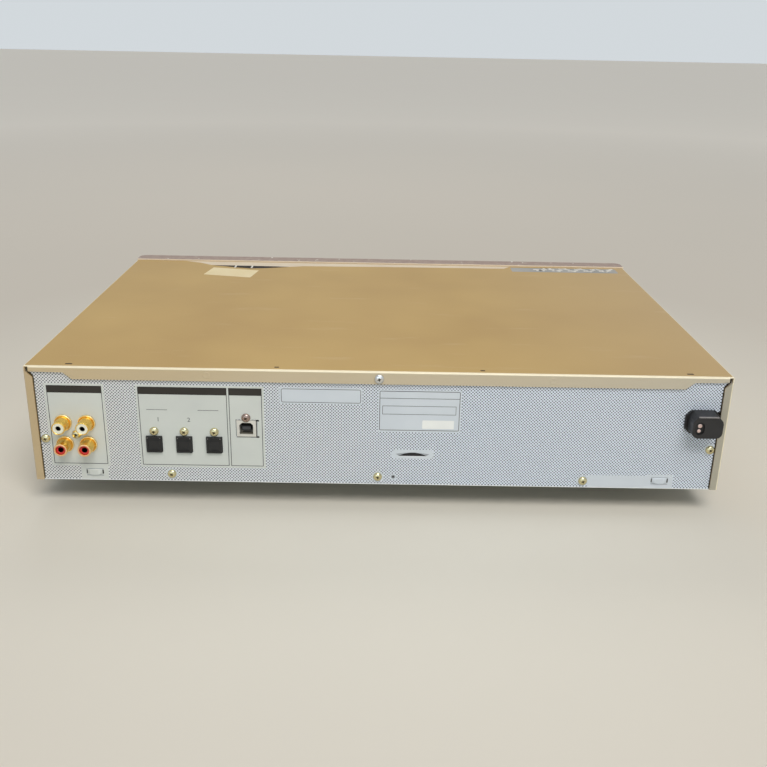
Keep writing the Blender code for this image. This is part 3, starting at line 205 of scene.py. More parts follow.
def gold_paint():
    """Satin gold paint on folded steel: mottled and scuffed, with painted highlights along the
    folds and a painted reflection on the rear faces.
    """
    f = Finish("gold_paint", metallic=0.12, specular=0.22)
    along, y, z = f.axes()
    x = f.math("ABSOLUTE", along)
    grain = f.noise(grain_size, 2)
    cloud = f.mottle(mottle_size, 2)
    top = f.mix(cloud, (184, 148, 83), (196, 161, 93))
    top = f.mix(f.ramp(along, grey_to, grey_from, grey_most, 0.0), top, (192, 164, 122))
    # The rear lip and flanges are painted paler than the top, a painted reflection of the bright
    # room behind, and cooler towards -x, a painted tint of the cooler light on that side
    across = f.ramp(along, -across_half, across_half)
    back = f.mix(across, (194, 186, 168), (200, 179, 142))
    back = f.mix(f.math("MULTIPLY", cloud, 0.2), back, (216, 203, 178))
    flange = f.mix(across, (170, 166, 152), (192, 170, 134))
    outwards = f.ramp(x, flange_inner - flange_blend, flange_inner + flange_blend)
    downwards = f.ramp(z, flange_head - flange_blend, flange_head + flange_blend, 1.0, 0.0)
    back = f.mix(f.math("MULTIPLY", outwards, downwards), back, flange)
    rear = cover_high.y - rear_depth
    tone = f.mix(f.ramp(y, rear - rear_blend, rear + rear_blend), top, back)
    tone = f.mix(f.ramp(grain, 0.35, 0.65, 0.0, 0.16), tone, (226, 204, 160))
    scuff = f.ramp(f.noise(scuff_size, 5, (0.25, 1.6, 1)), 0.62, 0.75, 0.0, 0.25)
    tone = f.mix(scuff, tone, (212, 190, 150))
    # Painted highlight: a bright line along the rear and side folds, and a painted glint on the
    # rear corners, strong at -x and faint at +x
    reach = cover_high
    rear_fold = f.math("SUBTRACT", f.math("ADD", y, z), reach.y + reach.z - fold_radius)
    side_fold = f.math("SUBTRACT", f.math("ADD", x, z), reach.x + reach.z - fold_radius)
    corner = f.math("SUBTRACT", f.math("ADD", x, y), reach.x + reach.y - fold_radius)
    fold_highlight = f.ramp(f.math("MAXIMUM", rear_fold, side_fold), highlight_start, highlight_end, 0.0, 0.9)
    corner_highlight = f.ramp(corner, highlight_start, highlight_end, 0.0, 0.8)
    corner_highlight = f.math("MULTIPLY", corner_highlight, f.ramp(along, -corner_highlight_half, corner_highlight_half, 1.0, 0.1))
    tone = f.mix(f.math("MAXIMUM", fold_highlight, corner_highlight), tone, (252, 242, 214))
    gloss = f.mottle(grain_size, 2, 0.4, 0.5)
    return f.set(Base_Color=tone, Roughness=gloss, Normal=f.bump(grain, 0.03, 0.35)).material


dots_per_mm = 0.5
dot_inner, dot_outer = 0.075, 0.125


def dot_print():
    """Pale blue-grey paint printed with rows of fine dark dots, set at 45 degrees."""
    f = Finish("dot_print", roughness=0.42, specular=0.3)
    x, y, z = f.axes()
    reach = 0.0
    for operation in ("ADD", "SUBTRACT"):
        from_dot = f.from_middle(f.cells(f.math(operation, x, z), dots_per_mm))
        reach = f.math("ADD", reach, f.math("MULTIPLY", from_dot, from_dot))
    share = f.ramp(reach, dot_inner, dot_outer, 1.0, 0.0)
    # The paint cools towards -x, a painted tint of the cooler light on that side
    paint = f.mix(f.ramp(x, -60, 190), (224, 231, 241), (226, 226, 224))
    ink = f.mix(f.noise(4, 2), (66, 73, 81), (86, 92, 98))
    tone = f.mix(share, paint, ink)
    return f.set(Base_Color=tone, Normal=f.bump(f.noise(0.4, 2), 0.02, 0.3)).material


def plain_paint(name, low, high, roughness=0.45):
    """Flat paint or ink with a light mottle and a fine orange peel."""
    f = Finish(name, roughness=roughness, specular=0.3)
    tone = f.mix(f.mottle(25), low, high)
    return f.set(Base_Color=tone, Normal=f.bump(f.noise(0.5, 2), 0.02, 0.3)).material


gloss_swing = 0.05
metal_gloss_swing = 0.06


def moulded(name, low, high, roughness, coat=0.0, grain=0.4, depth=0.03):
    """Moulded plastic or rubber with its own fine grain."""
    f = Finish(name)
    tone = f.mix(f.mottle(8), low, high)
    gloss = f.mottle(3, 3, roughness - gloss_swing, roughness + gloss_swing)
    f.set(Base_Color=tone, Roughness=gloss, Coat_Weight=coat, Coat_Roughness=0.1)
    return f.set(Normal=f.bump(f.noise(grain, 2), depth, 0.4)).material


def plated(name, low, high, roughness, stretch=(1, 1, 1), size=3.0):
    """Plated or brushed metal, with streaks along the axis of the least stretch."""
    f = Finish(name, metallic=1.0)
    streak = f.noise(size, 4, stretch)
    tone = f.mix(f.ramp(streak, 0.3, 0.7), low, high)
    gloss = f.mottle(6, 3, roughness - metal_gloss_swing, roughness + metal_gloss_swing)
    return f.set(Base_Color=tone, Roughness=gloss, Normal=f.bump(streak, 0.01, 0.3)).material


top_edge_start, top_edge_end = 0.2, 0.8
back_edge_start, back_edge_end = 0.9, 0.6
back_edge_rise = 0.2


def front_moulding():
    """Champagne front panel: brushed along x, with a pinker top edge and a painted highlight on its
    back edge, where it catches the light from behind.
    """
    f = Finish("front_moulding", roughness=0.38)
    x, y, z = f.axes()
    brush = f.noise(0.6, 3, (0.01, 1, 1))
    tone = f.mix(f.ramp(brush, 0.35, 0.65), (190, 166, 128), (204, 181, 143))
    top = f.mix(f.ramp(f.noise(6, 3), 0.35, 0.65), (150, 122, 106), (166, 140, 122))
    top = f.mix(f.ramp(f.noise(5, 2), 0.68, 0.71), top, (236, 230, 216))
    edge = f.ramp(z, cover_high.z + top_edge_start, cover_high.z + top_edge_end)
    tone = f.mix(edge, tone, top)
    # Painted highlight: the top of the back edge, above the cover, is painted pale
    rearmost = f.ramp(y, cover_low.y - back_edge_start, cover_low.y - back_edge_end)
    highest = f.ramp(z, cover_high.z - back_edge_rise, cover_high.z)
    tone = f.mix(f.math("MULTIPLY", rearmost, highest), tone, (234, 216, 190))
    return f.set(Base_Color=tone, Normal=f.bump(brush, 0.02, 0.4)).material


def window_material():
    """Smoked acrylic, tinted and slightly smeared."""
    f = Finish("smoked_acrylic")
    smear = f.noise(40, 4)
    f.set(Base_Color=f.mix(smear, (96, 90, 88), (112, 105, 102)))
    f.set(Transmission_Weight=0.85, IOR=1.45)
    gloss = f.ramp(smear, 0.35, 0.7, 0.03, 0.08)
    return f.set(Roughness=gloss, Coat_Weight=0.4, Coat_Roughness=0.03).material


cells_per_mm = 0.125


def tube_material():
    """Display tube: grey-green glass with its grid of segments dimly seen."""
    f = Finish("tube_glass", roughness=0.12)
    cell = f.cells(f.axes()[0], cells_per_mm)
    tone = f.mix(f.ramp(cell, 0.04, 0.08), (30, 40, 40), (78, 92, 88))
    tone = f.mix(f.ramp(f.noise(2, 3), 0.4, 0.7, 0, 0.4), tone, (110, 124, 116))
    return f.set(Base_Color=tone, Coat_Weight=1.0, Coat_Roughness=0.02).material


tracks_per_mm = 0.09
track_gap = 0.05
pads_per_mm = 0.394
pad_inner, pad_outer = 0.13, 0.19


def board_material(name, mask, track, hole):
    """Circuit board: solder mask with tracks under it and small pads."""
    f = Finish(name, roughness=0.38)
    axes = f.axes()
    bricks = {"Vector": f.stretched((tracks_per_mm,) * 3), "Scale": 1.0, "Mortar Size": track_gap}
    runs = f.put("TexBrick", bricks)
    grid = [f.from_middle(f.cells(axes[i], pads_per_mm)) for i in (0, 1)]
    pad = f.ramp(f.math("MAXIMUM", *grid), pad_inner, pad_outer, 1.0, 0.0)
    pad = f.math("MULTIPLY", pad, f.ramp(f.noise(9, 1), 0.5, 0.52))
    tone = f.mix(runs.outputs["Fac"], mask, track)
    tone = f.mix(f.ramp(f.noise(3, 4), 0.35, 0.7, 0, 0.5), tone, track)
    tone = f.mix(pad, tone, hole)
    return f.set(Base_Color=tone).material


sheets_per_mm = 2


def laminations():
    """Stacked core sheets, dark at their joints and a little rusty."""
    f = Finish("laminations", metallic=0.7)
    sheets = f.ramp(f.from_middle(f.cells(f.axes()[1], sheets_per_mm)), 0.1, 0.3)
    tone = f.mix(sheets, (62, 58, 54), (104, 99, 94))
    tone = f.mix(f.ramp(f.noise(12, 4), 0.5, 0.75, 0, 0.5), tone, (92, 66, 48))
    f.set(Base_Color=tone, Roughness=f.ramp(sheets, 0, 1, 0.7, 0.5))
    return f.set(Normal=f.bump(sheets, 0.1, 0.5)).material


wraps_per_mm = 0.16


def tape_material():
    """Yellow tape wound round the coil."""
    f = Finish("winding_tape", roughness=0.3)
    wraps = f.cells(f.axes()[2], wraps_per_mm)
    tone = f.mix(f.ramp(wraps, 0.0, 0.08), (128, 104, 30), (206, 178, 72))
    return f.set(Base_Color=tone, Normal=f.bump(f.noise(6, 3), 0.2, 0.4)).material


gold_cover = gold_paint()
plain_print = plain_paint("plain_print", (206, 209, 203), (212, 215, 208))
title_ink = plain_paint("title_ink", (46, 42, 38), (54, 50, 45), 0.35)
line_ink = plain_paint("line_ink", (78, 80, 80), (96, 98, 97))
silver_paint = plain_paint("panel_plain_paint", (207, 213, 219), (213, 219, 224))
# Painted highlight on the lip under the arched slot
lip_highlight_paint = plain_paint("panel_lip_highlight", (222, 226, 230), (228, 231, 234))
seam_paint = plain_paint("panel_edge_paint", (226, 228, 228), (236, 238, 236))
# Painted shade in grey, for creases, pressed slopes, gaps and the small hole's wall
press_shade = plain_paint("panel_press_shade", (150, 155, 160), (162, 167, 172))
paper = plain_paint("paper", (236, 237, 234), (244, 245, 240), 0.6)
price_paper = plain_paint("price_paper", (238, 218, 170), (247, 230, 188), 0.6)
film = plain_paint("protective_film", (142, 140, 134), (172, 168, 160), 0.3)
film_edge = plain_paint("torn_film_edge", (226, 220, 208), (244, 239, 228), 0.3)
recess_shade = plain_paint("recess_shade", (66, 58, 40), (82, 73, 52), 0.6)
gap_shade = plain_paint("gap_shade", (26, 18, 10), (38, 27, 16), 0.7)
champagne = moulded("champagne_moulding", (196, 170, 128), (206, 181, 140), 0.34, 0.25)
mark_ink = plain_paint("key_mark_ink", (74, 62, 48), (90, 76, 60))
pointer_ink = plain_paint("pointer_ink", (52, 44, 36), (64, 55, 45))
black_matt = moulded("black_moulding", (17, 16, 16), (26, 25, 25), 0.5)
bushing_black = moulded("bushing_moulding", (26, 25, 26), (38, 37, 38), 0.45)
tongue_grey = moulded("tongue_moulding", (44, 45, 47), (58, 59, 62), 0.4)
# Deep black for the computer socket's insert, and painted shade in the slot's throat, the sockets'
# bands and notches and round the cord
deep_black_and_shade = moulded("deep_black_and_painted_shade", (4, 4, 4), (9, 8, 8), 0.6)
black_gloss = moulded("black_gloss_moulding", (16, 15, 15), (24, 23, 23), 0.22, 0.3)
# Painted highlight: pale grey glints on black edges
highlight_grey = moulded("black_edge_highlight", (132, 128, 126), (152, 148, 146), 0.4)
cream = moulded("cream_moulding", (238, 234, 208), (247, 243, 222), 0.3, 0.2)
red = moulded("red_moulding", (206, 34, 32), (222, 52, 44), 0.3, 0.3)
gold_metal = plated("gold_plating", (240, 196, 92), (250, 214, 120), 0.28)
# Painted highlights on the jacks' collars and on the lower jacks' rims
gold_highlight = plated("gold_plating_highlight", (252, 230, 168), (255, 241, 190), 0.4)
rose_gold_highlight = plated("rose_gold_plating_highlight", (248, 192, 140), (255, 208, 162), 0.3)
cream_paint = plain_paint("cover_bare_edge", (226, 206, 178), (238, 220, 192), 0.4)
# Painted shade: near black, for the jacks' contacts
contact_shade = plated("contact_shade", (20, 16, 12), (34, 28, 22), 0.4)
screw_gold = plated("screw_gold", (200, 190, 148), (220, 211, 172), 0.2)
screw_silver = plated("screw_silver", (206, 206, 206), (226, 226, 226), 0.24)
screw_brown = plated("screw_brown", (150, 128, 118), (176, 156, 146), 0.24)
steel = plated("plated_steel", (186, 187, 184), (204, 205, 202), 0.3, (0.1, 1, 1), 2.0)
dull_steel = plain_paint("dull_steel", (98, 94, 84), (116, 112, 100), 0.4)
copper = plated("copper", (214, 190, 184), (236, 214, 208), 0.34)

slot_finish = {
    "cover_paint": gold_cover,
    "rear_paint": dot_print(),
    "champagne_plastic": champagne,
    "smoked_window": window_material(),
    "plain_steel": steel,
    "transformer_iron": laminations(),
    "gold_plate": gold_metal,
    "black_plastic": black_matt,
    "white_plastic": cream,
    "red_plastic": red,
    "winding_tape": tape_material(),
    "circuit_board": board_material("green_board", (20, 74, 34), (34, 98, 48), (196, 196, 180)),
    "power_board": board_material("tan_board", (150, 112, 66), (168, 130, 82), (196, 190, 170)),
    "tube_glass": tube_material(),
    "foot_rubber": moulded("foot_rubber", (28, 27, 27), (40, 39, 38), 0.75, 0.0, 0.8, 0.08),
    "cord_rubber": moulded("cord_rubber", (16, 15, 15), (24, 23, 23), 0.6),
}
node_finish = {
    "front_panel": front_moulding(),
    "usb_shell": plain_paint("tinned_steel", (206, 204, 194), (222, 218, 208), 0.3),
    "usb_insert": deep_black_and_shade,
    "cord_bushing": bushing_black,
}

for part in frame["record"]["subparts"]:
    name = part["node"]
    nodes[name].data.materials.clear()
    nodes[name].data.materials.append(node_finish.get(name, slot_finish[part["material_slot"]]))


# Mesh pieces

weld = 1e-5
least_radius = 1e-6
to_axis = {
    "Z": Matrix.Identity(4),
    "-Z": Matrix.Rotation(math.radians(180), 4, "X"),
    "Y": Matrix.Rotation(math.radians(-90), 4, "X"),
    "-Y": Matrix.Rotation(math.radians(90), 4, "X"),
}


def add_object(name, data):
    """A new object in the scene that holds the data."""
    made = bpy.data.objects.new(name, data)
    bpy.context.scene.collection.objects.link(made)
    return made


def evaluated(made):
    """The shape of an object with its modifiers. The object is removed."""
    graph = bpy.context.evaluated_depsgraph_get()
    mesh = bpy.data.meshes.new_from_object(made.evaluated_get(graph))
    bpy.data.objects.remove(made)
    shape = bmesh.new()
    shape.from_mesh(mesh)
    bpy.data.meshes.remove(mesh)
    return shape


def piece(name, shape, material, body="housing", angle=30):
    """A bmesh, in metres and in place, as a piece that rides on a body."""
    bmesh.ops.recalc_face_normals(shape, faces=shape.faces)
    mesh = bpy.data.meshes.new(name)
    shape.to_mesh(mesh)
    shape.free()
    mesh.shade_smooth()
    mesh.set_sharp_from_angle(angle=math.radians(angle))
    mesh.materials.append(material)
    made = add_object(name, mesh)
    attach(made, body)
    return made


def sheet(loops, low, high, axis="Y"):
    """The closed sheet of the outlines, low to high along the axis. Inner outlines are holes."""
    outline = bpy.data.curves.new("outline", "CURVE")
    outline.dimensions = "2D"
    outline.fill_mode = "BOTH"
    outline.extrude = (high - low) / 2
    for loop in loops:
        spline = outline.splines.new("POLY")
        spline.points.add(len(loop) - 1)
        for point, (u, v) in zip(spline.points, loop):
            point.co = (u, v, 0, 1)
        spline.use_cyclic_u = True
    shape = evaluated(add_object("outline", outline))
    bmesh.ops.remove_doubles(shape, verts=shape.verts, dist=weld)
    centre = (high + low) / 2
    for vert in shape.verts:
        u, v, w = vert.co
        w += centre
        vert.co = Vector({"X": (w, u, v), "Y": (u, w, v), "Z": (u, v, w)}[axis]) * mm
    return shape


def around(radius, turn, x=0, z=0):
    """The point at a radius and an angle from a point."""
    return (x + radius * math.cos(turn), z + radius * math.sin(turn))


def turns(sides):
    return [2 * math.pi * i / sides for i in range(sides)]


def rounded(x_0, z_0, x_1, z_1, radius=0.0, steps=4):
    """Rectangle outline with rounded corners."""
    if radius <= 0:
        return [(x_0, z_0), (x_1, z_0), (x_1, z_1), (x_0, z_1)]
    corners = [(x_1, z_1, 0), (x_0, z_1, 90), (x_0, z_0, 180), (x_1, z_0, 270)]
    points = []
    for x, z, start in corners:
        x += radius if x == x_0 else -radius
        z += radius if z == z_0 else -radius
        for i in range(steps + 1):
            turn = math.radians(start + 90 * i / steps)
            points.append(around(radius, turn, x, z))
    return points


def circle(x, z, radius, sides=32):
    """Round outline about a point."""
    return [around(radius, turn, x, z) for turn in turns(sides)]


def turned(profile, centre, axis="Y", sides=40):
    """Surface of revolution of (radius, height) points about an axis through centre."""
    shape = bmesh.new()
    rings = []
    for radius, height in profile:
        if radius < least_radius:
            rings.append([shape.verts.new((0, 0, height))])
            continue
        ring = [(*around(radius, turn), height) for turn in turns(sides)]
        rings.append([shape.verts.new(point) for point in ring])
    for low, high in zip(rings, rings[1:]):
        for i in range(max(len(low), len(high))):
            ends = [low[k % len(low)] for k in (i, i + 1)]
            ends += [high[k % len(high)] for k in (i + 1, i)]
            kept = list(dict.fromkeys(ends))
            if len(kept) > 2:
                shape.faces.new(kept)
    place(shape, centre, axis)
    return shape


def place(shape, centre, axis="Y"):
    """Turns the shape's +Z to the axis, moves it to centre and takes it to metres."""
    bmesh.ops.remove_doubles(shape, verts=shape.verts, dist=weld)
    bmesh.ops.transform(shape, matrix=to_axis[axis], verts=shape.verts)
    for vert in shape.verts:
        vert.co = (vert.co + Vector(centre)) * mm


def carved(shape, cutter):
    """shape less cutter, both in millimetres."""
    objects = []
    for part in (shape, cutter):
        bmesh.ops.recalc_face_normals(part, faces=part.faces)
        mesh = bpy.data.meshes.new("part")
        part.to_mesh(mesh)
        part.free()
        objects.append(add_object("part", mesh))
    step = objects[0].modifiers.new("cut", "BOOLEAN")
    step.object = objects[1]
    step.operation = "DIFFERENCE"
    step.solver = "EXACT"
    made = evaluated(objects[0])
    bpy.data.objects.remove(objects[1])
    return made


def about_z(degrees):
    return Matrix.Rotation(math.radians(degrees), 4, "Z")


def add_bar(shape, size, rise):
    """Adds a box on the z axis with its middle at rise. Returns its points."""
    bar = bmesh.ops.create_cube(shape, size=1)["verts"]
    bmesh.ops.scale(shape, vec=size, verts=bar)
    bmesh.ops.translate(shape, vec=(0, 0, rise), verts=bar)
    return bar


cross_length_share, cross_width_share, cross_rise_share = 1.05, 0.26, 0.95
cross_foot_shares = (0.4, 0.7)
head_seat = 0.3
neck_share = 0.6
rim_share, flat_share = 0.22, 0.12
head_steps, head_sides = 8, 36
recess_size = (2.4, 0.78, 0.5)
recess_rise = 1.15


def wing_cutter(radius, height, turn):
    """One of the two crossed wings of a cross recess, narrower at its foot."""
    shape = bmesh.new()
    rise = height * cross_rise_share
    size = (radius * cross_length_share, radius * cross_width_share, height)
    for vert in add_bar(shape, size, rise):
        if vert.co.z < rise:
            vert.co.x *= cross_foot_shares[0]
            vert.co.y *= cross_foot_shares[1]
    bmesh.ops.transform(shape, matrix=about_z(turn), verts=shape.verts)
    return shape


def screw_head(radius, height):
    """A pan head with a cross recess, standing on z 0, in millimetres."""
    neck = radius * neck_share
    profile = [(0, -head_seat), (neck, -head_seat), (neck, 0), (radius, 0)]
    for i in range(head_steps + 1):
        turn = math.radians(90 * i / head_steps)
        out = radius * (flat_share + (1 - flat_share) * math.cos(turn))
        profile.append((out, height * (rim_share + (1 - rim_share) * math.sin(turn))))
    profile.append((0, height))
    shape = turned(profile, (0, 0, 0), "Z", head_sides)
    for vert in shape.verts:
        vert.co /= mm
    for turn in (0, 90):
        shape = carved(shape, wing_cutter(radius, height, turn))
    return shape


def add_screw(name, head, centre, axis, material, turn):
    """A screw head on a face, turned by some degrees, with painted shade in the cross of its
    recess.
    """
    shape = head.copy()
    bmesh.ops.transform(shape, matrix=about_z(turn), verts=shape.verts)
    place(shape, centre, axis)
    # Painted shade: two dark bars in the cross of the recess
    dark = bmesh.new()
    for wing_turn in (turn, turn + 90):
        wing = add_bar(dark, recess_size, recess_rise)
        bmesh.ops.transform(dark, matrix=about_z(wing_turn), verts=wing)
    place(dark, centre, axis)
    piece(f"{name}_recess", dark, recess_shade)
    return piece(name, shape, material, angle=40)


# Rear panel: prints and plates

print_step = 0.03


def print_on_panel(name, loops, material, level=1):
    """A printed area on the rear panel, a few hundredths of a millimetre thick."""
    low = panel_y + print_step * (level - 1)
    return piece(name, sheet(loops, low, low + print_step), material)


def frame_loops(x_0, z_0, x_1, z_1, line, radius=0.0):
    """Outer and inner outlines of a drawn rectangle."""
    inner = (x_0 + line, z_0 + line, x_1 - line, z_1 - line)
    return [rounded(x_0, z_0, x_1, z_1, radius), rounded(*inner, max(radius - line, 0.0))]


def spread(node, spare_x, spare_z=None):
    """The corners (x, z, x, z) of a node's box, some millimetres wider all round."""
    spare_z = spare_x if spare_z is None else spare_z
    low, high = edges(node)
    return (low.x - spare_x, low.z - spare_z, high.x + spare_x, high.z + spare_z)


jacks = ("in_left", "in_right", "out_left", "out_right")
jack_middles = {jack: middle("rca_shell_" + jack) for jack in jacks}
sockets = ("out", "in_2", "in_1")
socket_rise = (38.4, 49.2)
socket_middles = {name: middle("optical_socket_" + name).x for name in sockets}
socket_half = 4.85
usb_low, usb_high = edges("usb_shell")

jack_hole_radius = 3.8
socket_spare, socket_spare_z = 0.3, 0.1
usb_spare = 0.5
reach = socket_half + socket_spare
hole_low, hole_high = socket_rise[0] - socket_spare_z, socket_rise[1] + socket_spare_z
jack_holes = [circle(at.x, at.z, jack_hole_radius) for at in jack_middles.values()]
socket_holes = [
    rounded(x - reach, hole_low, x + reach, hole_high) for x in socket_middles.values()
]
box_line = 0.42
box_bottom = 29.2
margin = 1.3
# Each drawn box: its ends along x, and the bottom and top of its title bar
boxes = {
    "analog": (169.2, 202.8, 77.3, 82.1),
    "digital": (93.2, 147.4, 77.2, 82.1),
    "computer": (71.8, 92.1, 77.3, 82.1),
}
grounds = {
    "analog": ("analog", "analog", jack_holes),
    "digital": ("computer", "digital", [*socket_holes, rounded(*spread("usb_shell", usb_spare))]),
}
for name, (first, last, holes) in grounds.items():
    ends = (boxes[first][0] - margin, boxes[last][1] + margin)
    outline = rounded(ends[0], box_bottom - margin, ends[1], boxes[first][3] + margin)
    print_on_panel(f"box_ground_{name}", [outline, *holes], plain_print)
for name, (x_0, x_1, bar, top) in boxes.items():
    loops = frame_loops(x_0, box_bottom, x_1, top, box_line)
    print_on_panel(f"box_line_{name}", loops, line_ink, 2)
    print_on_panel(f"box_title_{name}", [rounded(x_0, bar, x_1, top)], title_ink, 3)

# Corners on the panel (x, z, x, z), corner radius, line width (0 is a filled area), paint, level
printed_areas = {
    "optical_rule_left": ((130.1, 66.8, 142.8, 67.1), 0, 0, line_ink, 2),
    "optical_rule_right": ((98.7, 66.8, 111.4, 67.1), 0, 0, line_ink, 2),
    "note_box_ground": ((10.2, 72.4, 61.0, 83.2), 1.0, 0, silver_paint, 1),
    "note_box_line": ((11.2, 73.3, 60.0, 82.4), 1.2, 0.35, line_ink, 2),
    "plate_ground": ((-50.5, 54.7, 0.7, 82.9), 1.0, 0, silver_paint, 1),
    "plate_line": ((-49.6, 55.6, -0.2, 82.0), 0.9, 0.4, line_ink, 2),
    "plate_rule": ((-49.4, 77.0, -0.4, 77.3), 0, 0, line_ink, 3),
    "plate_inner_line": ((-47.4, 66.4, -2.0, 72.2), 0, 0.3, line_ink, 2),
    "plate_sticker": ((-46.4, 57.0, -26.8, 62.7), 0.6, 0, paper, 4),
}
for name, (corners, radius, line, paint, level) in printed_areas.items():
    loops = frame_loops(*corners, line, radius) if line else [rounded(*corners, radius)]
    print_on_panel(name, loops, paint, level)

panel_low, panel_high = edges("rear_panel")
edge_inset = 2.5
edge_height = 0.55
strip = (panel_low.x + edge_inset, base, panel_high.x - edge_inset, base + edge_height)
print_on_panel("panel_bottom_edge", [rounded(*strip)], seam_paint, 3)


# Lanced tabs, the arched slot and the small hole in the rear panel

tab_x = 177.9
tab_z = 23.8
tab_half = 5.4
tab_height = 3.6
tab_ground_spare = 3.0
panel_seam = 0.3
mouth_width = 0.9
mouth_foot, mouth_head = 0.3, 0.4
crease_height = 0.35
foot_line_low, foot_line_high = 1.0, 0.45
mark_radius = 0.2
bridge_inset = 0.7
bridge_rise = 0.75
bridge_sag = 0.55
bridge_stand = 0.05
bridge_slope = (0.5, 0.2)
bridge_steps = 10
tab_low, tab_high = tab_z - tab_height / 2, tab_z + tab_height / 2


def tab_bridge(x):
    """The strip pushed out of the panel between the tab's two mouths."""
    bridge = bmesh.new()
    rows = []
    for i in range(bridge_steps + 1):
        along = -1 + 2 * i / bridge_steps
        rise = bridge_rise * (1 - along ** 4)
        foot = tab_low - bridge_sag * (1 - along ** 2)
        u = x + along * (tab_half - bridge_inset)
        points = [
            (u, bridge_stand, tab_high),
            (u, rise, tab_high - bridge_slope[0]),
            (u, rise, foot + bridge_slope[1]),
            (u, bridge_stand, foot),
        ]
        rows.append([bridge.verts.new(Vector((a, panel_y + b, c)) * mm) for a, b, c in points])
    for first, last in zip(rows, rows[1:]):
        for i in range(len(first)):
            j = (i + 1) % len(first)
            bridge.faces.new((first[i], first[j], last[j], last[i]))
    bridge.faces.new(rows[0])
    bridge.faces.new(rows[-1])
    return bridge


for side, x in (("left", tab_x), ("right", -tab_x)):
    paint = plain_print if x > 0 else silver_paint
    far = tab_half + tab_ground_spare
    ground = rounded(x - far, base + panel_seam, x + far, box_bottom - margin)
    print_on_panel(f"tab_ground_{side}", [ground], paint, 0.5)
    # Painted shade: the dark mouths at the tab's ends, the grey crease above it and the grey line
    # under its foot
    for end in (-1, 1):
        near, out = sorted((x + end * (tab_half - mouth_width), x + end * tab_half))
        mouth = rounded(near, tab_low + mouth_foot, out, tab_high - mouth_head, mark_radius)
        shade = line_ink if end > 0 else gap_shade
        print_on_panel(f"tab_mouth_{side}_{end + 1}", [mouth], shade, 2)
    crease = rounded(x - tab_half, tab_high, x + tab_half, tab_high + crease_height)
    print_on_panel(f"tab_crease_{side}", [crease], press_shade, 2)
    foot_line = (x - tab_half, tab_low - foot_line_low, x + tab_half, tab_low - foot_line_high)
    print_on_panel(f"tab_foot_{side}", [rounded(*foot_line, mark_radius)], press_shade, 2)
    piece(f"tab_bridge_{side}", tab_bridge(x), paint, angle=50)

# Painted shade: a dark line along each flange's inner edge and in the gap round its top corner
flange_edge = 209.45
flange_top = 91.8
flange_out = flange_edge + 1.0
shade_outer_z, shade_inner_z = 87.6, 88.0
corner_in = 211.9
corner_step = (0.5, 0.4)
corner_inset = 0.1
corner_top = panel_high.z - corner_inset
corner_out = panel_high.x - corner_inset
for side, end in (("left", 1), ("right", -1)):
    shade = [
        (flange_edge, base + 2 * panel_seam), (flange_out, base + 2 * panel_seam),
        (flange_out, shade_outer_z), (corner_out, flange_top - corner_step[0]),
        (corner_out, corner_top), (corner_in, corner_top),
        (corner_in, flange_top - corner_step[1]), (flange_edge, shade_inner_z),
    ]
    shade = [(end * u, v) for u, v in shade]
    print_on_panel(f"flange_shade_{side}", [shade], recess_shade if end > 0 else gap_shade, 2)

code_band = (-171.8, base + panel_seam, -132.6, 26.9)
print_on_panel("code_band", [rounded(*code_band)], silver_paint)

arch_x = -21.4
arch_z = 38.2
arch_half = 8.9
arch_rise = 2.25
arch_reach = arch_half + 4.6
arch_below, arch_above, arch_corner = 2.1, 4.4, 3.2
arch_lift = 0.1
press_reach, press_start, press_drop = 1.6, 4.0, 0.9
press_shares = (1, 0.8, 0.5)
lip_drop, lip_sag = 0.15, 0.9
arch_steps = [-1 + i / 8 for i in range(17)]


def bow(shares, lift, rise):
    """Points of an arch over the slot, at shares of its half width."""
    return [(arch_x + arch_half * s, arch_z + lift + rise * (1 - s * s)) for s in shares]


ground = (arch_x - arch_reach, arch_z - arch_below, arch_x + arch_reach, arch_z + arch_above)
print_on_panel("arch_ground", [rounded(*ground, arch_corner)], silver_paint)
# The slot's opening is a black sheet of painted shade
throat = bow(arch_steps, arch_lift, arch_rise)
throat += [(arch_x + arch_half, arch_z), (arch_x - arch_half, arch_z)]
print_on_panel("arch_throat", [throat], deep_black_and_shade, 3)
# Painted shade on the pressed slopes at the arch's ends
for end in (-1, 1):
    tip = (arch_x + end * (arch_half + press_reach), arch_z + arch_rise - press_drop)
    fall = bow([end * s for s in press_shares], 3 * arch_lift, arch_rise)
    wedge = [tip, *fall, (arch_x + end * press_start, arch_z + arch_rise)]
    print_on_panel(f"arch_press_{end + 1}", [wedge], press_shade, 2)
# Painted highlight on the lip under the slot
lip = [(arch_x - arch_half, arch_z), *bow(arch_steps, -lip_drop, -lip_sag)]
print_on_panel("arch_lip", [[*lip, (arch_x + arch_half, arch_z)]], lip_highlight_paint, 3)

hole_at = (-9.6, 23.4)
rim_radius, rim_bore, hole_radius, hole_middle = 2.3, 1.4, 1.45, 0.75
# The small hole: a plain rim, with painted shade inside, grey on its wall and black in its middle
rim = [circle(*hole_at, rim_radius), circle(*hole_at, rim_bore)]
print_on_panel("small_hole_rim", rim, silver_paint, 2)
print_on_panel("small_hole", [circle(*hole_at, hole_radius)], press_shade, 1)
print_on_panel("small_hole_middle", [circle(*hole_at, hole_middle)], title_ink, 2)


# Screws

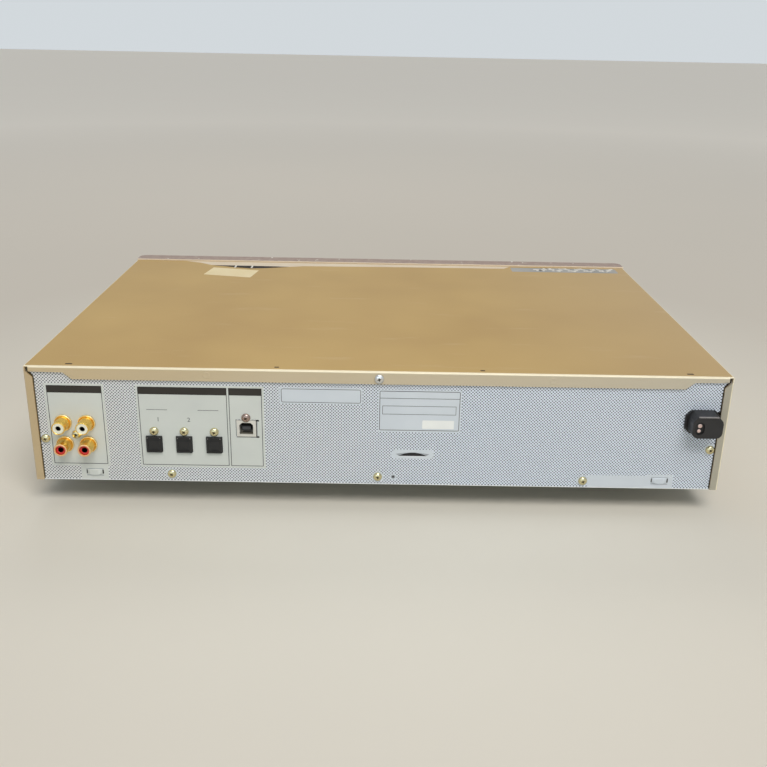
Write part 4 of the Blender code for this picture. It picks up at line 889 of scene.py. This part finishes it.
panel_screws = {
    "panel_screw_left": (206.4, 46.4),
    "panel_screw_low_left": (129.6, 23.2),
    "panel_screw_low_middle": (0.2, 23.4),
    "panel_screw_low_right": (-129.4, 22.8),
    "panel_screw_right": (-206.8, 45.8),
    "jack_screw": (187.1, 49.6),
    "optical_screw_1": (139.0, 52.5),
    "optical_screw_2": (120.4, 52.5),
    "optical_screw_3": (101.8, 52.5),
}
head_height = 1.9
head_radius, lip_head_radius = 2.8, 3.0
first_turn, turn_step = 17, 29
ring_radius = 3.7
pan_head = screw_head(head_radius, head_height)
for i, (name, (x, z)) in enumerate(panel_screws.items()):
    turn = first_turn + turn_step * i
    add_screw(name, pan_head, (x, panel_y, z), "Y", screw_gold, turn)
    if name.startswith("panel"):
        print_on_panel(f"{name}_ring", [circle(x, z, ring_radius)], silver_paint, 0.5)
computer_screw = (81.9, panel_y, 62.5)
add_screw("computer_screw", pan_head, computer_screw, "Y", screw_brown, 30)
lip_y = cover_high.y
lip_screw = (0.2, lip_y, 90.3)
lip_head = screw_head(lip_head_radius, head_height)
add_screw("lip_screw", lip_head, lip_screw, "Y", screw_silver, 10)

dimple_profile = [(0, 0.02), (1.0, 0.03), (1.5, 0.16), (1.9, 0.2), (2.15, 0.1), (2.2, 0), (0, 0)]
dimple_z = 90.7
dimples = {"left": 104.8, "right": -105.2}
for side, x in dimples.items():
    shape = turned(dimple_profile, (x, lip_y, dimple_z))
    piece(f"lip_dimple_{side}", shape, gold_cover, angle=60)


# Phono jacks

# Each profile is (radius, distance from the shell's foot)
barrel = 9.0
shell_foot = [
    (3.5, 0.0), (5.4, 0.0), (5.4, 0.5), (5.28, 0.72), (5.1, 0.8), (4.9, 0.72), (4.78, 0.45),
    (4.7, 0.35), (4.5, 0.35), (4.34, 1.4), (4.2, 1.9), (4.15, 2.4), (4.15, barrel - 0.5),
]
plain_tip = [(4.07, 8.84), (3.85, 9.0), (3.6, 9.0), (3.5, 8.9), (3.5, 0.0)]
lipped_tip = [(4.05, 8.85), (3.8, 9.0), (3.25, 9.0), (3.1, 8.9), (3.1, 8.6), (3.5, 8.5), (3.5, 0.0)]
cream_ring = [
    (1.65, -1.3), (3.46, -1.3), (3.46, 8.75), (3.34, 8.9), (1.9, 8.94), (1.7, 8.86),
    (1.65, 8.7), (1.65, -1.3),
]
red_ring = [
    (1.75, -1.3), (3.4, -1.3), (3.4, 7.7), (3.2, 7.95), (2.0, 8.1), (1.8, 8.0), (1.75, 7.8),
    (1.75, -1.3),
]
contact = [(0, 0.8), (1.62, 0.8), (1.62, 8.1), (1.4, 8.1), (1.4, 1.0), (0, 1.0)]
collar = [(4.86, 0.6), (4.98, 0.86), (5.12, 0.92), (5.3, 0.84), (5.4, 0.6), (4.86, 0.6)]
rim = [(3.12, 9.0), (3.3, 9.05), (3.8, 9.05), (4.02, 8.9), (3.8, 9.0), (3.12, 9.0)]
for jack in jacks:
    at = jack_middles[jack].copy()
    at.y = edges("rca_shell_" + jack)[0].y
    upper = jack.endswith("left")
    profile = shell_foot + (plain_tip if upper else lipped_tip)
    shell = piece(f"jack_{jack}", turned(profile, at, sides=56), gold_metal, angle=40)
    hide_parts("rca_shell_" + jack)
    profile, material = (cream_ring, cream) if upper else (red_ring, red)
    slot = "white_plastic" if upper else "red_plastic"
    ring = piece(f"jack_ring_{jack}", turned(profile, at, sides=48), material, angle=40)
    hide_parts("rca_insulator_" + jack)
    # The contact is a near-black lining of painted shade in the jack's bore
    piece(f"jack_contact_{jack}", turned(contact, at, sides=32), contact_shade)
    # The collar and the lower jacks' rim are painted highlights
    piece(f"jack_collar_{jack}", turned(collar, at, sides=56), gold_highlight, angle=60)
    if not upper:
        piece(f"jack_rim_{jack}", turned(rim, at, sides=48), rose_gold_highlight, angle=60)


# Optical sockets

mouth_half = 3.75
mouth_inset = 1.1
key_cut = 1.7
key_drop = 1.3
trim_wall = 0.3
trim_stand, trim_drop = 0.06, 0.02
ink = 0.02
band_spare, band_low, band_high = 0.35, 1.9, 0.6
band_radius = 0.3
notch_half, notch_low, notch_high = 1.8, 0.05, 1.9
glint_x, glint_drop, glint_radius, glint_stand = 3.9, 0.9, 0.28, 0.06
rim_inset, rim_line, rim_corner, rim_stand = 0.1, 0.35, 0.5, 0.12
face_y = edges("optical_socket_out")[1].y
shutter_y = edges("optical_shutter_out")[1].y
socket_low, socket_high = socket_rise
low, high = socket_low + mouth_inset, socket_high - mouth_inset


def on_socket(name, loops, material, thick):
    """A flat piece on an optical socket's face."""
    piece(name, sheet(loops, face_y, face_y + thick), material)


for name, x in socket_middles.items():
    x_0, x_1 = x - mouth_half, x + mouth_half
    keyed = [
        (x_0 + trim_wall, low + trim_wall), (x_1 - trim_wall, low + trim_wall),
        (x_1 - trim_wall, high - key_cut), (x_1 - key_cut, high - key_drop),
        (x_0 + key_cut, high - key_drop), (x_0 + trim_wall, high - key_cut),
    ]
    trim = [rounded(x_0, low, x_1, high), keyed]
    trim = sheet(trim, shutter_y + trim_stand, face_y - trim_drop)
    piece(f"optical_trim_{name}", trim, black_gloss)
    # Painted shade: a black band along the top of the face, where the shutter is recessed, and a
    # black notch at its foot
    band = (x_0 - band_spare, high - band_low, x_1 + band_spare, high + band_high)
    on_socket(f"optical_band_{name}", [rounded(*band, band_radius)], deep_black_and_shade, ink)
    notch = (x - notch_half, socket_low + notch_low, x + notch_half, socket_low + notch_high)
    on_socket(f"optical_notch_{name}", [rounded(*notch, band_radius)], deep_black_and_shade, ink)
    # Painted highlights: a pale glint at each top corner
    for end in (-1, 1):
        glint = circle(x + end * glint_x, socket_high - glint_drop, glint_radius, 12)
        on_socket(f"optical_corner_glint_{name}_{end + 1}", [glint], highlight_grey, glint_stand)
    reach = socket_half - rim_inset
    outer = (x - reach, socket_low + rim_inset, x + reach, socket_high - rim_inset)
    loops = frame_loops(*outer, rim_line, rim_corner)
    on_socket(f"optical_rim_{name}", loops, black_matt, rim_stand)


def digit(name, text, x, z, height):
    """A plain printed number on the rear panel, read from behind."""
    words = bpy.data.curves.new(name, "FONT")
    words.body = text
    words.size = height
    words.align_x = "CENTER"
    words.align_y = "CENTER"
    words.extrude = print_step / 2
    shape = evaluated(add_object(name, words))
    for vert in shape.verts:
        u, v, w = vert.co
        vert.co = Vector((x - u, panel_y + 1.5 * print_step + w, z + v)) * mm
    piece(name, shape, line_ink)


number_z = 60.3
number_height = 4.0
for text, x in {"1": 136.0, "2": 117.2}.items():
    digit(f"optical_number_{text}", text, x, number_z, number_height)


# Computer socket

# Marks round the shell, painted shade in its gaps, crease and notches: corners (x, z, x, z)
# reckoned from its edges, corner radius and paint
x_0, z_0, x_1, z_1 = usb_low.x, usb_low.z, usb_high.x, usb_high.z
shell_marks = {
    "gap_low": ((x_0 - 0.2, z_0 - 0.75, x_1 + 0.1, z_0 - 0.1), 0, line_ink),
    "gap_side": ((x_1 + 0.05, z_0, x_1 + 0.35, z_1), 0, press_shade),
    "crease": ((x_0 - 1.0, z_0, x_0 - 0.75, z_1), 0, press_shade),
    "notch_high": ((x_0 - 1.9, z_1 - 0.6, x_0 - 0.1, z_1 + 0.5), 0.45, deep_black_and_shade),
    "notch_low": ((x_0 - 1.9, z_0 - 0.9, x_0 - 0.1, z_0 + 0.2), 0.45, deep_black_and_shade),
}
for name, (corners, radius, paint) in shell_marks.items():
    print_on_panel(f"computer_socket_{name}", [rounded(*corners, radius)], paint, 3)
opening_height = 7.78
opening_x = (x_0 + x_1) / 2
opening_low = (z_0 + z_1) / 2 - opening_height / 2
# Pieces in the opening: half width, low and high edges, radius, depths behind the shell's face
opening_pieces = {
    "tongue": (2.5, (3.1, 5.0), 0.3, (1.2, 0.7), tongue_grey, "black_plastic"),
    "sill": (4.1, (0.02, 0.45), 0, (3.0, 0.6), dull_steel, "plain_steel"),
}
for name, (half, rise, radius, depths, finish, slot) in opening_pieces.items():
    low, high = (opening_low + z for z in rise)
    loop = rounded(opening_x - half, low, opening_x + half, high, radius)
    shape = sheet([loop], usb_high.y - depths[0], usb_high.y - depths[1])
    piece(f"computer_socket_{name}", shape, finish)


# Cord bushing and the cut cord

bush_high = edges("cord_bushing")[1]
cord_at = middle("cord_stub")
cord_end = edges("cord_stub")[1].y
rim_spares, rim_radii = (0.9, 0.15), (3.4, 2.8)
rim_depths = (0.5, 0.02)
loops = [
    rounded(*spread("cord_stub", spare), radius, 8) for spare, radius in zip(rim_spares, rim_radii)
]
# A deep black ring of painted shade in the gap round the cord
cord_rim = sheet(loops, bush_high.y - rim_depths[0], bush_high.y - rim_depths[1])
piece("cord_hole_rim", cord_rim, deep_black_and_shade)
strand = [(0, -0.3), (1.0, -0.3), (1.15, 0.1), (1.1, 0.32), (0.9, 0.45), (0, 0.5)]
# Each conductor: its place from the cord's middle, and how many times as wide as the strand
conductors = {"upper": (-0.2, 1.55, 1.15), "lower": (0.1, -1.75, 1.0)}
for name, (x, z, grow) in conductors.items():
    profile = [(radius * grow, height) for radius, height in strand]
    end = (cord_at.x + x, cord_end, cord_at.z + z)
    piece(f"conductor_{name}", turned(profile, end, sides=14), copper, angle=20)
crown_lift = 1.5
crown_inset = 0.05
crown_ends = (-207.0, -205.4, -204.6, -193.2, -192.4, -190.9)
crown_drops = (2.1, 0.4, crown_inset, crown_inset, 0.4, 2.1)
crown = [(x, bush_high.z - drop) for x, drop in zip(crown_ends, crown_drops)]
crown_front = bush_high.y - crown_inset
crown = sheet([crown], panel_y + crown_lift, crown_front)
piece("bushing_crown", crown, bushing_black)
# Painted highlight: a thin pale strip along the top front edge of the bushing's nose
edge_highlight_x, edge_highlight_height, edge_highlight_depth, edge_highlight_radius = (-205.0, -192.8), 0.5, 0.9, 0.2
edge_highlight = (edge_highlight_x[0], bush_high.z - edge_highlight_height, edge_highlight_x[1], bush_high.z, edge_highlight_radius)
edge_highlight = sheet([rounded(*edge_highlight)], crown_front - edge_highlight_depth, bush_high.y)
piece("bushing_edge_highlight", edge_highlight, highlight_grey)


# Cover: slits, sticker, label strip with its torn film, and the gap at the front

cover_top = cover_high.z


def lay_on_cover(name, loop, material, level=1):
    """A flat piece on the cover's top, a few hundredths of a millimetre thick."""
    low = cover_top + print_step * (level - 1)
    return piece(name, sheet([loop], low, low + print_step, "Z"), material)


def turned_loop(loop, centre, degrees):
    """The outline turned about its own centre and moved there."""
    cos, sin = around(1, math.radians(degrees))
    return [(centre[0] + u * cos - v * sin, centre[1] + u * sin + v * cos) for u, v in loop]


# Each slit: its middle along x and its half length
slits = {
    "left": (188.6, 2.2),
    "mid_left": (62.6, 1.5),
    "mid_right": (-62.6, 1.5),
    "right": (-189.2, 2.1),
}
slit_back, slit_front, slit_radius = 3.7, 5.2, 0.6
# Each slit is a dark sheet of painted shade laid on the cover's top
for name, (x, half) in slits.items():
    slit = rounded(x - half, lip_y - slit_front, x + half, lip_y - slit_back, slit_radius)
    lay_on_cover(f"cover_slit_{name}", slit, gap_shade)

sticker_half, sticker_at, sticker_turn = (20.3, 11.7), (125.8, -86.4), -10.5
sticker = rounded(-sticker_half[0], -sticker_half[1], *sticker_half, 0.8)
lay_on_cover("price_sticker", turned_loop(sticker, sticker_at, sticker_turn), price_paper)
strip = rounded(-206.0, -118.5, -114.0, -105.0, 1.0)
lay_on_cover("cover_label_strip", strip, film)
bare_edge = [
    (172.0, -121.6), (158.0, -117.0), (147.0, -109.5), (112.0, -107.6), (80.0, -107.4),
    (66.0, -111.0), (-20.0, -113.4), (-108.0, -114.4), (-114.0, -121.6),
]
lay_on_cover("cover_bare_edge", bare_edge, cream_paint)
# The gap at the front is painted shade laid on the cover's top
gap = [
    (146.0, -108.6), (134.0, -105.9), (124.0, -102.8), (112.0, -100.2), (100.0, -101.9),
    (79.0, -107.4), (90.0, -108.3), (112.0, -108.9), (130.0, -109.0),
]
lay_on_cover("cover_front_gap", gap, gap_shade, 2)
gap_films = {"left": 125.4, "right": 111.2}
film_half, film_ends, film_radius = 0.8, (-109.4, -101.6), 0.5
for name, x in gap_films.items():
    crossing = rounded(x - film_half, film_ends[0], x + film_half, film_ends[1], film_radius)
    lay_on_cover(f"gap_film_{name}", crossing, film_edge, 3)

# Torn film along the label strip: flakes in a wavy row
crumbs = 30
crumb_start, crumb_run = (-136.0, -113.5), -66.0
crumb_wave, crumb_wave_rate = 4.2, 7.3
crumb_turn, crumb_turn_rate = 40, 3.1
crumb = rounded(-2.6, -1.15, 2.6, 1.15, 0.5)
for i in range(crumbs):
    x = crumb_start[0] + crumb_run * (i / (crumbs - 1))
    y = crumb_start[1] + crumb_wave * math.sin(crumb_wave_rate * i)
    flake = turned_loop(crumb, (x, y), crumb_turn * math.sin(crumb_turn_rate * i))
    lay_on_cover(f"film_flake_{i}", flake, film_edge, 2)


# Front: window frame, slot trim, key marks, knobs and lamps


def on_front(name, loops, material, thick, face=None, body="housing"):
    """A flat piece on a face that looks forward, standing thick proud of it."""
    face = front_y if face is None else face
    return piece(name, sheet(loops, face - thick, face), material, body)


def rim_round(node, spare, line, radius):
    """A drawn frame round a node, spare wider all round."""
    return frame_loops(*spread(node, spare), line, radius)


on_front("window_frame", rim_round("display_window", 1.2, 1.25, 2.0), champagne, 0.35)
on_front("slot_trim", rim_round("slot_door", 1.6, 1.2, 1.6), black_gloss, 0.3)
door_x, door_top = middle("slot_door").x, edges("slot_door")[1].z
arrow_half, arrow_foot, arrow_tip = 2.4, door_top + 4.6, door_top + 7.2
arrow = [(door_x - arrow_half, arrow_foot), (door_x + arrow_half, arrow_foot), (door_x, arrow_tip)]
on_front("slot_arrow", [arrow], champagne, 0.05)
mask = rim_round("display_tube", 2.0, 0.5, 1.0)
on_front("display_mask", mask, mark_ink, 0.05)

mark = 1.5
triangle = [(-0.9 * mark, -mark), (0.9 * mark, 0), (-0.9 * mark, mark)]
square = rounded(-mark * 0.85, -mark * 0.85, mark * 0.85, mark * 0.85)
bar = rounded(-0.35 * mark, -mark, 0.35 * mark, mark)


def shifted(loop, x):
    """The outline moved along x."""
    return [(u + x, v) for u, v in loop]


def flipped(loop):
    """The outline's mirror image."""
    return [(-u, v) for u, v in loop]


forward = [shifted(triangle, -mark), shifted(triangle, mark)]
key_marks = {
    "play_button": [triangle],
    "pause_button": [shifted(bar, -0.75 * mark), shifted(bar, 0.75 * mark)],
    "stop_button": [square],
    "search_back_button": [flipped(loop) for loop in forward],
    "search_forward_button": forward,
    "record_button": [circle(0, 0, mark, 24)],
    "eject_button": [
        [(-1.3 * mark, -0.3 * mark), (1.3 * mark, -0.3 * mark), (0, mark)],
        rounded(-1.3 * mark, -mark, 1.3 * mark, -0.6 * mark),
    ],
}
thin_ink = 0.03
for button, loops in key_marks.items():
    face = edges(button)[0].y
    at = middle(button)
    for i, loop in enumerate(loops):
        moved = [(u + at.x, v + at.z) for u, v in loop]
        on_front(f"{button}_mark_{i}", [moved], mark_ink, thin_ink, face=face, body=button)
key_spare, eject_spare = 0.3, 0.7
surround_line, surround_radius, surround_stand = 0.5, 1.2, 0.25
for button in key_marks:
    spare = eject_spare if button == "eject_button" else key_spare
    loops = rim_round(button, spare, surround_line, surround_radius)
    on_front(f"{button}_surround", loops, champagne, surround_stand)


knurl_wall = 0.4
pointer_turn = 120


def knurled(name, body, reach, low, high, teeth, depth, material):
    """A toothed band round a knob, from low to high in front of the panel."""
    at = middle(body)
    ring = []
    for i, turn in enumerate(turns(2 * teeth)):
        ring.append(around(reach if i % 2 else reach - depth, turn, at.x, at.z))
    shape = sheet([ring, circle(at.x, at.z, reach - depth - knurl_wall, 64)], low, high)
    return piece(name, shape, material, body, angle=20)


def knob_pointer(name, body, inner, outer, width, material):
    """A printed line on a knob's face, from inner to outer radius, at eleven o'clock."""
    at = middle(body)
    face = edges(body)[0].y
    along = around(1, math.radians(pointer_turn))
    across = (-along[1] * width / 2, along[0] * width / 2)
    loop = [
        (at.x + r * along[0] + s * across[0], at.z + r * along[1] + s * across[1])
        for r, s in ((inner, -1), (outer, -1), (outer, 1), (inner, 1))
    ]
    on_front(name, [loop], material, 0.05, face=face, body=body)


def ring_on_front(name, at, outer, inner, thick, sides=32):
    """A flat round ring on the front panel."""
    loops = [circle(at.x, at.z, radius, sides) for radius in (outer, inner)]
    on_front(name, loops, champagne, thick)


jog_face, level_face = edges("jog_knob")[0].y, edges("level_knob")[0].y
knurled("jog_knurl", "jog_knob", 17.45, jog_face + 1.6, front_y - 1.9, 90, 0.5, champagne)
knurled("level_knurl", "level_knob", 11.95, level_face + 1.4, front_y - 0.3, 60, 0.5, champagne)
knob_pointer("level_pointer", "level_knob", 6.0, 10.2, 0.9, pointer_ink)
knob_pointer("phones_pointer", "phones_knob", 2.0, 4.4, 0.7, pointer_ink)

level_at = middle("level_knob")
level_dots = 11
dot_reach, dot_radius, dot_first, dot_step = 15.2, 0.45, 240, 30
for i in range(level_dots):
    at = around(dot_reach, math.radians(dot_first - dot_step * i), level_at.x, level_at.z)
    on_front(f"level_dot_{i}", [circle(*at, dot_radius, 14)], pointer_ink, thin_ink)
ring_on_front("jog_ring", middle("jog_knob"), 20.6, 19.5, 0.3, 96)

power_at = middle("power_button")
power_low, power_high = edges("power_button")
power_half = (power_high.x - power_low.x) / 2
ring_on_front("power_ring", power_at, power_half + 1.9, power_half + 0.5, 0.3, 56)
lamp = [(0, -0.2), (1.4, -0.2), (1.4, 0.2), (1.2, 0.6), (0.7, 0.9), (0, 1.0)]
lamp_drop = 5.5
lamp_at = Vector((power_at.x, front_y, power_at.z - power_half - lamp_drop))
piece("standby_lamp", turned(lamp, lamp_at, "-Y", 24), red)
ring_on_front("standby_lamp_ring", lamp_at, 2.1, 1.5, 0.25)

outline = spread("timer_switch", 1.4, 0.6)
on_front("timer_surround", frame_loops(*outline, 0.6, 0.6), champagne, surround_stand)


# Underside: screws in the pan

pan_screws = [(-196, -104), (196, -104), (-196, 112), (196, 112), (0, -104), (0, 112)]
pan_turn = 21
for i, (x, y) in enumerate(pan_screws):
    turn = pan_turn * i
    add_screw(f"pan_screw_{i}", pan_head, (x, y, base), "-Z", screw_silver, turn)


# Floor, lights and camera


near_floor, far_floor = 0.2, 0.5
lift_from, lift_to, lift_most = 0.45, 2.4, 0.34


def floor_material():
    """Pale matt table top, painted lighter near the deck as a painted pool of light and darker with
    distance, which glows more with distance for camera, gloss and clear rays and so fades into the
    backdrop.
    """
    f = Finish("floor_paint", roughness=0.55, specular=0.25)
    away = f.put("VectorMath", {0: f.place}, operation="LENGTH").outputs["Value"]
    # Painted light: the floor is painted lighter near the deck
    distance = f.ramp(away, near_floor, far_floor)
    tone = f.mix(distance, (234, 229, 215), (219, 210, 196))
    tone = f.mix(f.mottle(400, 2, 0.0, 0.2), tone, (212, 205, 192))
    f.set(Base_Color=tone)
    lift = f.math("MULTIPLY", f.ramp(away, lift_from, lift_to, 0.0, lift_most), f.seen())
    return f.set(Emission_Color=colour(226, 221, 212), Emission_Strength=lift).material


floor_half = 12.0
floor_mesh = bpy.data.meshes.new("floor")
floor_turns = [(-1, -1), (1, -1), (1, 1), (-1, 1)]
floor_corners = [(floor_half * x, floor_half * y, 0) for x, y in floor_turns]
floor_mesh.from_pydata(floor_corners, [], [tuple(range(len(floor_corners)))])
floor_mesh.materials.append(floor_material())
floor = add_object("floor", floor_mesh)

unseen_sky, seen_sky = 0.26, 0.72
world = bpy.data.worlds.new("soft_room")
bpy.context.scene.world = world
world.use_nodes = True
room = Nodes(world.node_tree)
sky = room.tree.nodes["Background"]
sky.inputs["Color"].default_value = (0.9, 0.96, 1.0, 1.0)
room.plug(sky.inputs["Strength"], room.ramp(room.seen(), 0, 1, unseen_sky, seen_sky))


def softbox(name, place_at, aim, wide, high, power, tint):
    """A rectangular lamp at a place in metres, aimed at a point."""
    data = bpy.data.lights.new(name, "AREA")
    data.shape = "RECTANGLE"
    data.size = wide
    data.size_y = high
    data.energy = power
    data.color = tint
    lamp = add_object(name, data)
    lamp.location = place_at
    lamp.rotation_euler = (Vector(aim) - Vector(place_at)).to_track_quat("-Z", "Y").to_euler()


# Each lamp: its place and aim, width, height, watts and tint
lamps = {
    "top_light": ((0.1, 0.3, 1.7), (0, 0, 0), 1.8, 1.2, 0.7, (1.0, 0.96, 0.9)),
    "rear_light": ((-0.35, 1.35, 1.85), (0, 0.13, 0.05), 1.3, 0.9, 31, (1.0, 0.98, 0.97)),
    "low_light": ((0.3, 2.4, 0.45), (0, 0.13, 0.03), 2.4, 0.6, 7, (0.7, 0.88, 1.0)),
    "front_light": ((0.2, -1.1, 1.3), (0, -0.13, 0.05), 1.0, 0.6, 3.8, (1.0, 0.98, 0.95)),
}
for name, setting in lamps.items():
    softbox(name, *setting)

camera_data = bpy.data.cameras.new("camera")
camera = add_object("camera", camera_data)
camera_data.sensor_width = 36.0
camera_data.lens = 40.557
camera_data.shift_y = -0.0663
tilt, roll, turn = 70.9592, -1.0639, 179.9471
camera.rotation_euler = Euler(math.radians(angle) for angle in (tilt, roll, turn))
camera.location = (0.00179, 0.61953, 0.28709)
bpy.context.scene.camera = camera
bpy.context.scene.view_settings.view_transform = "Standard"
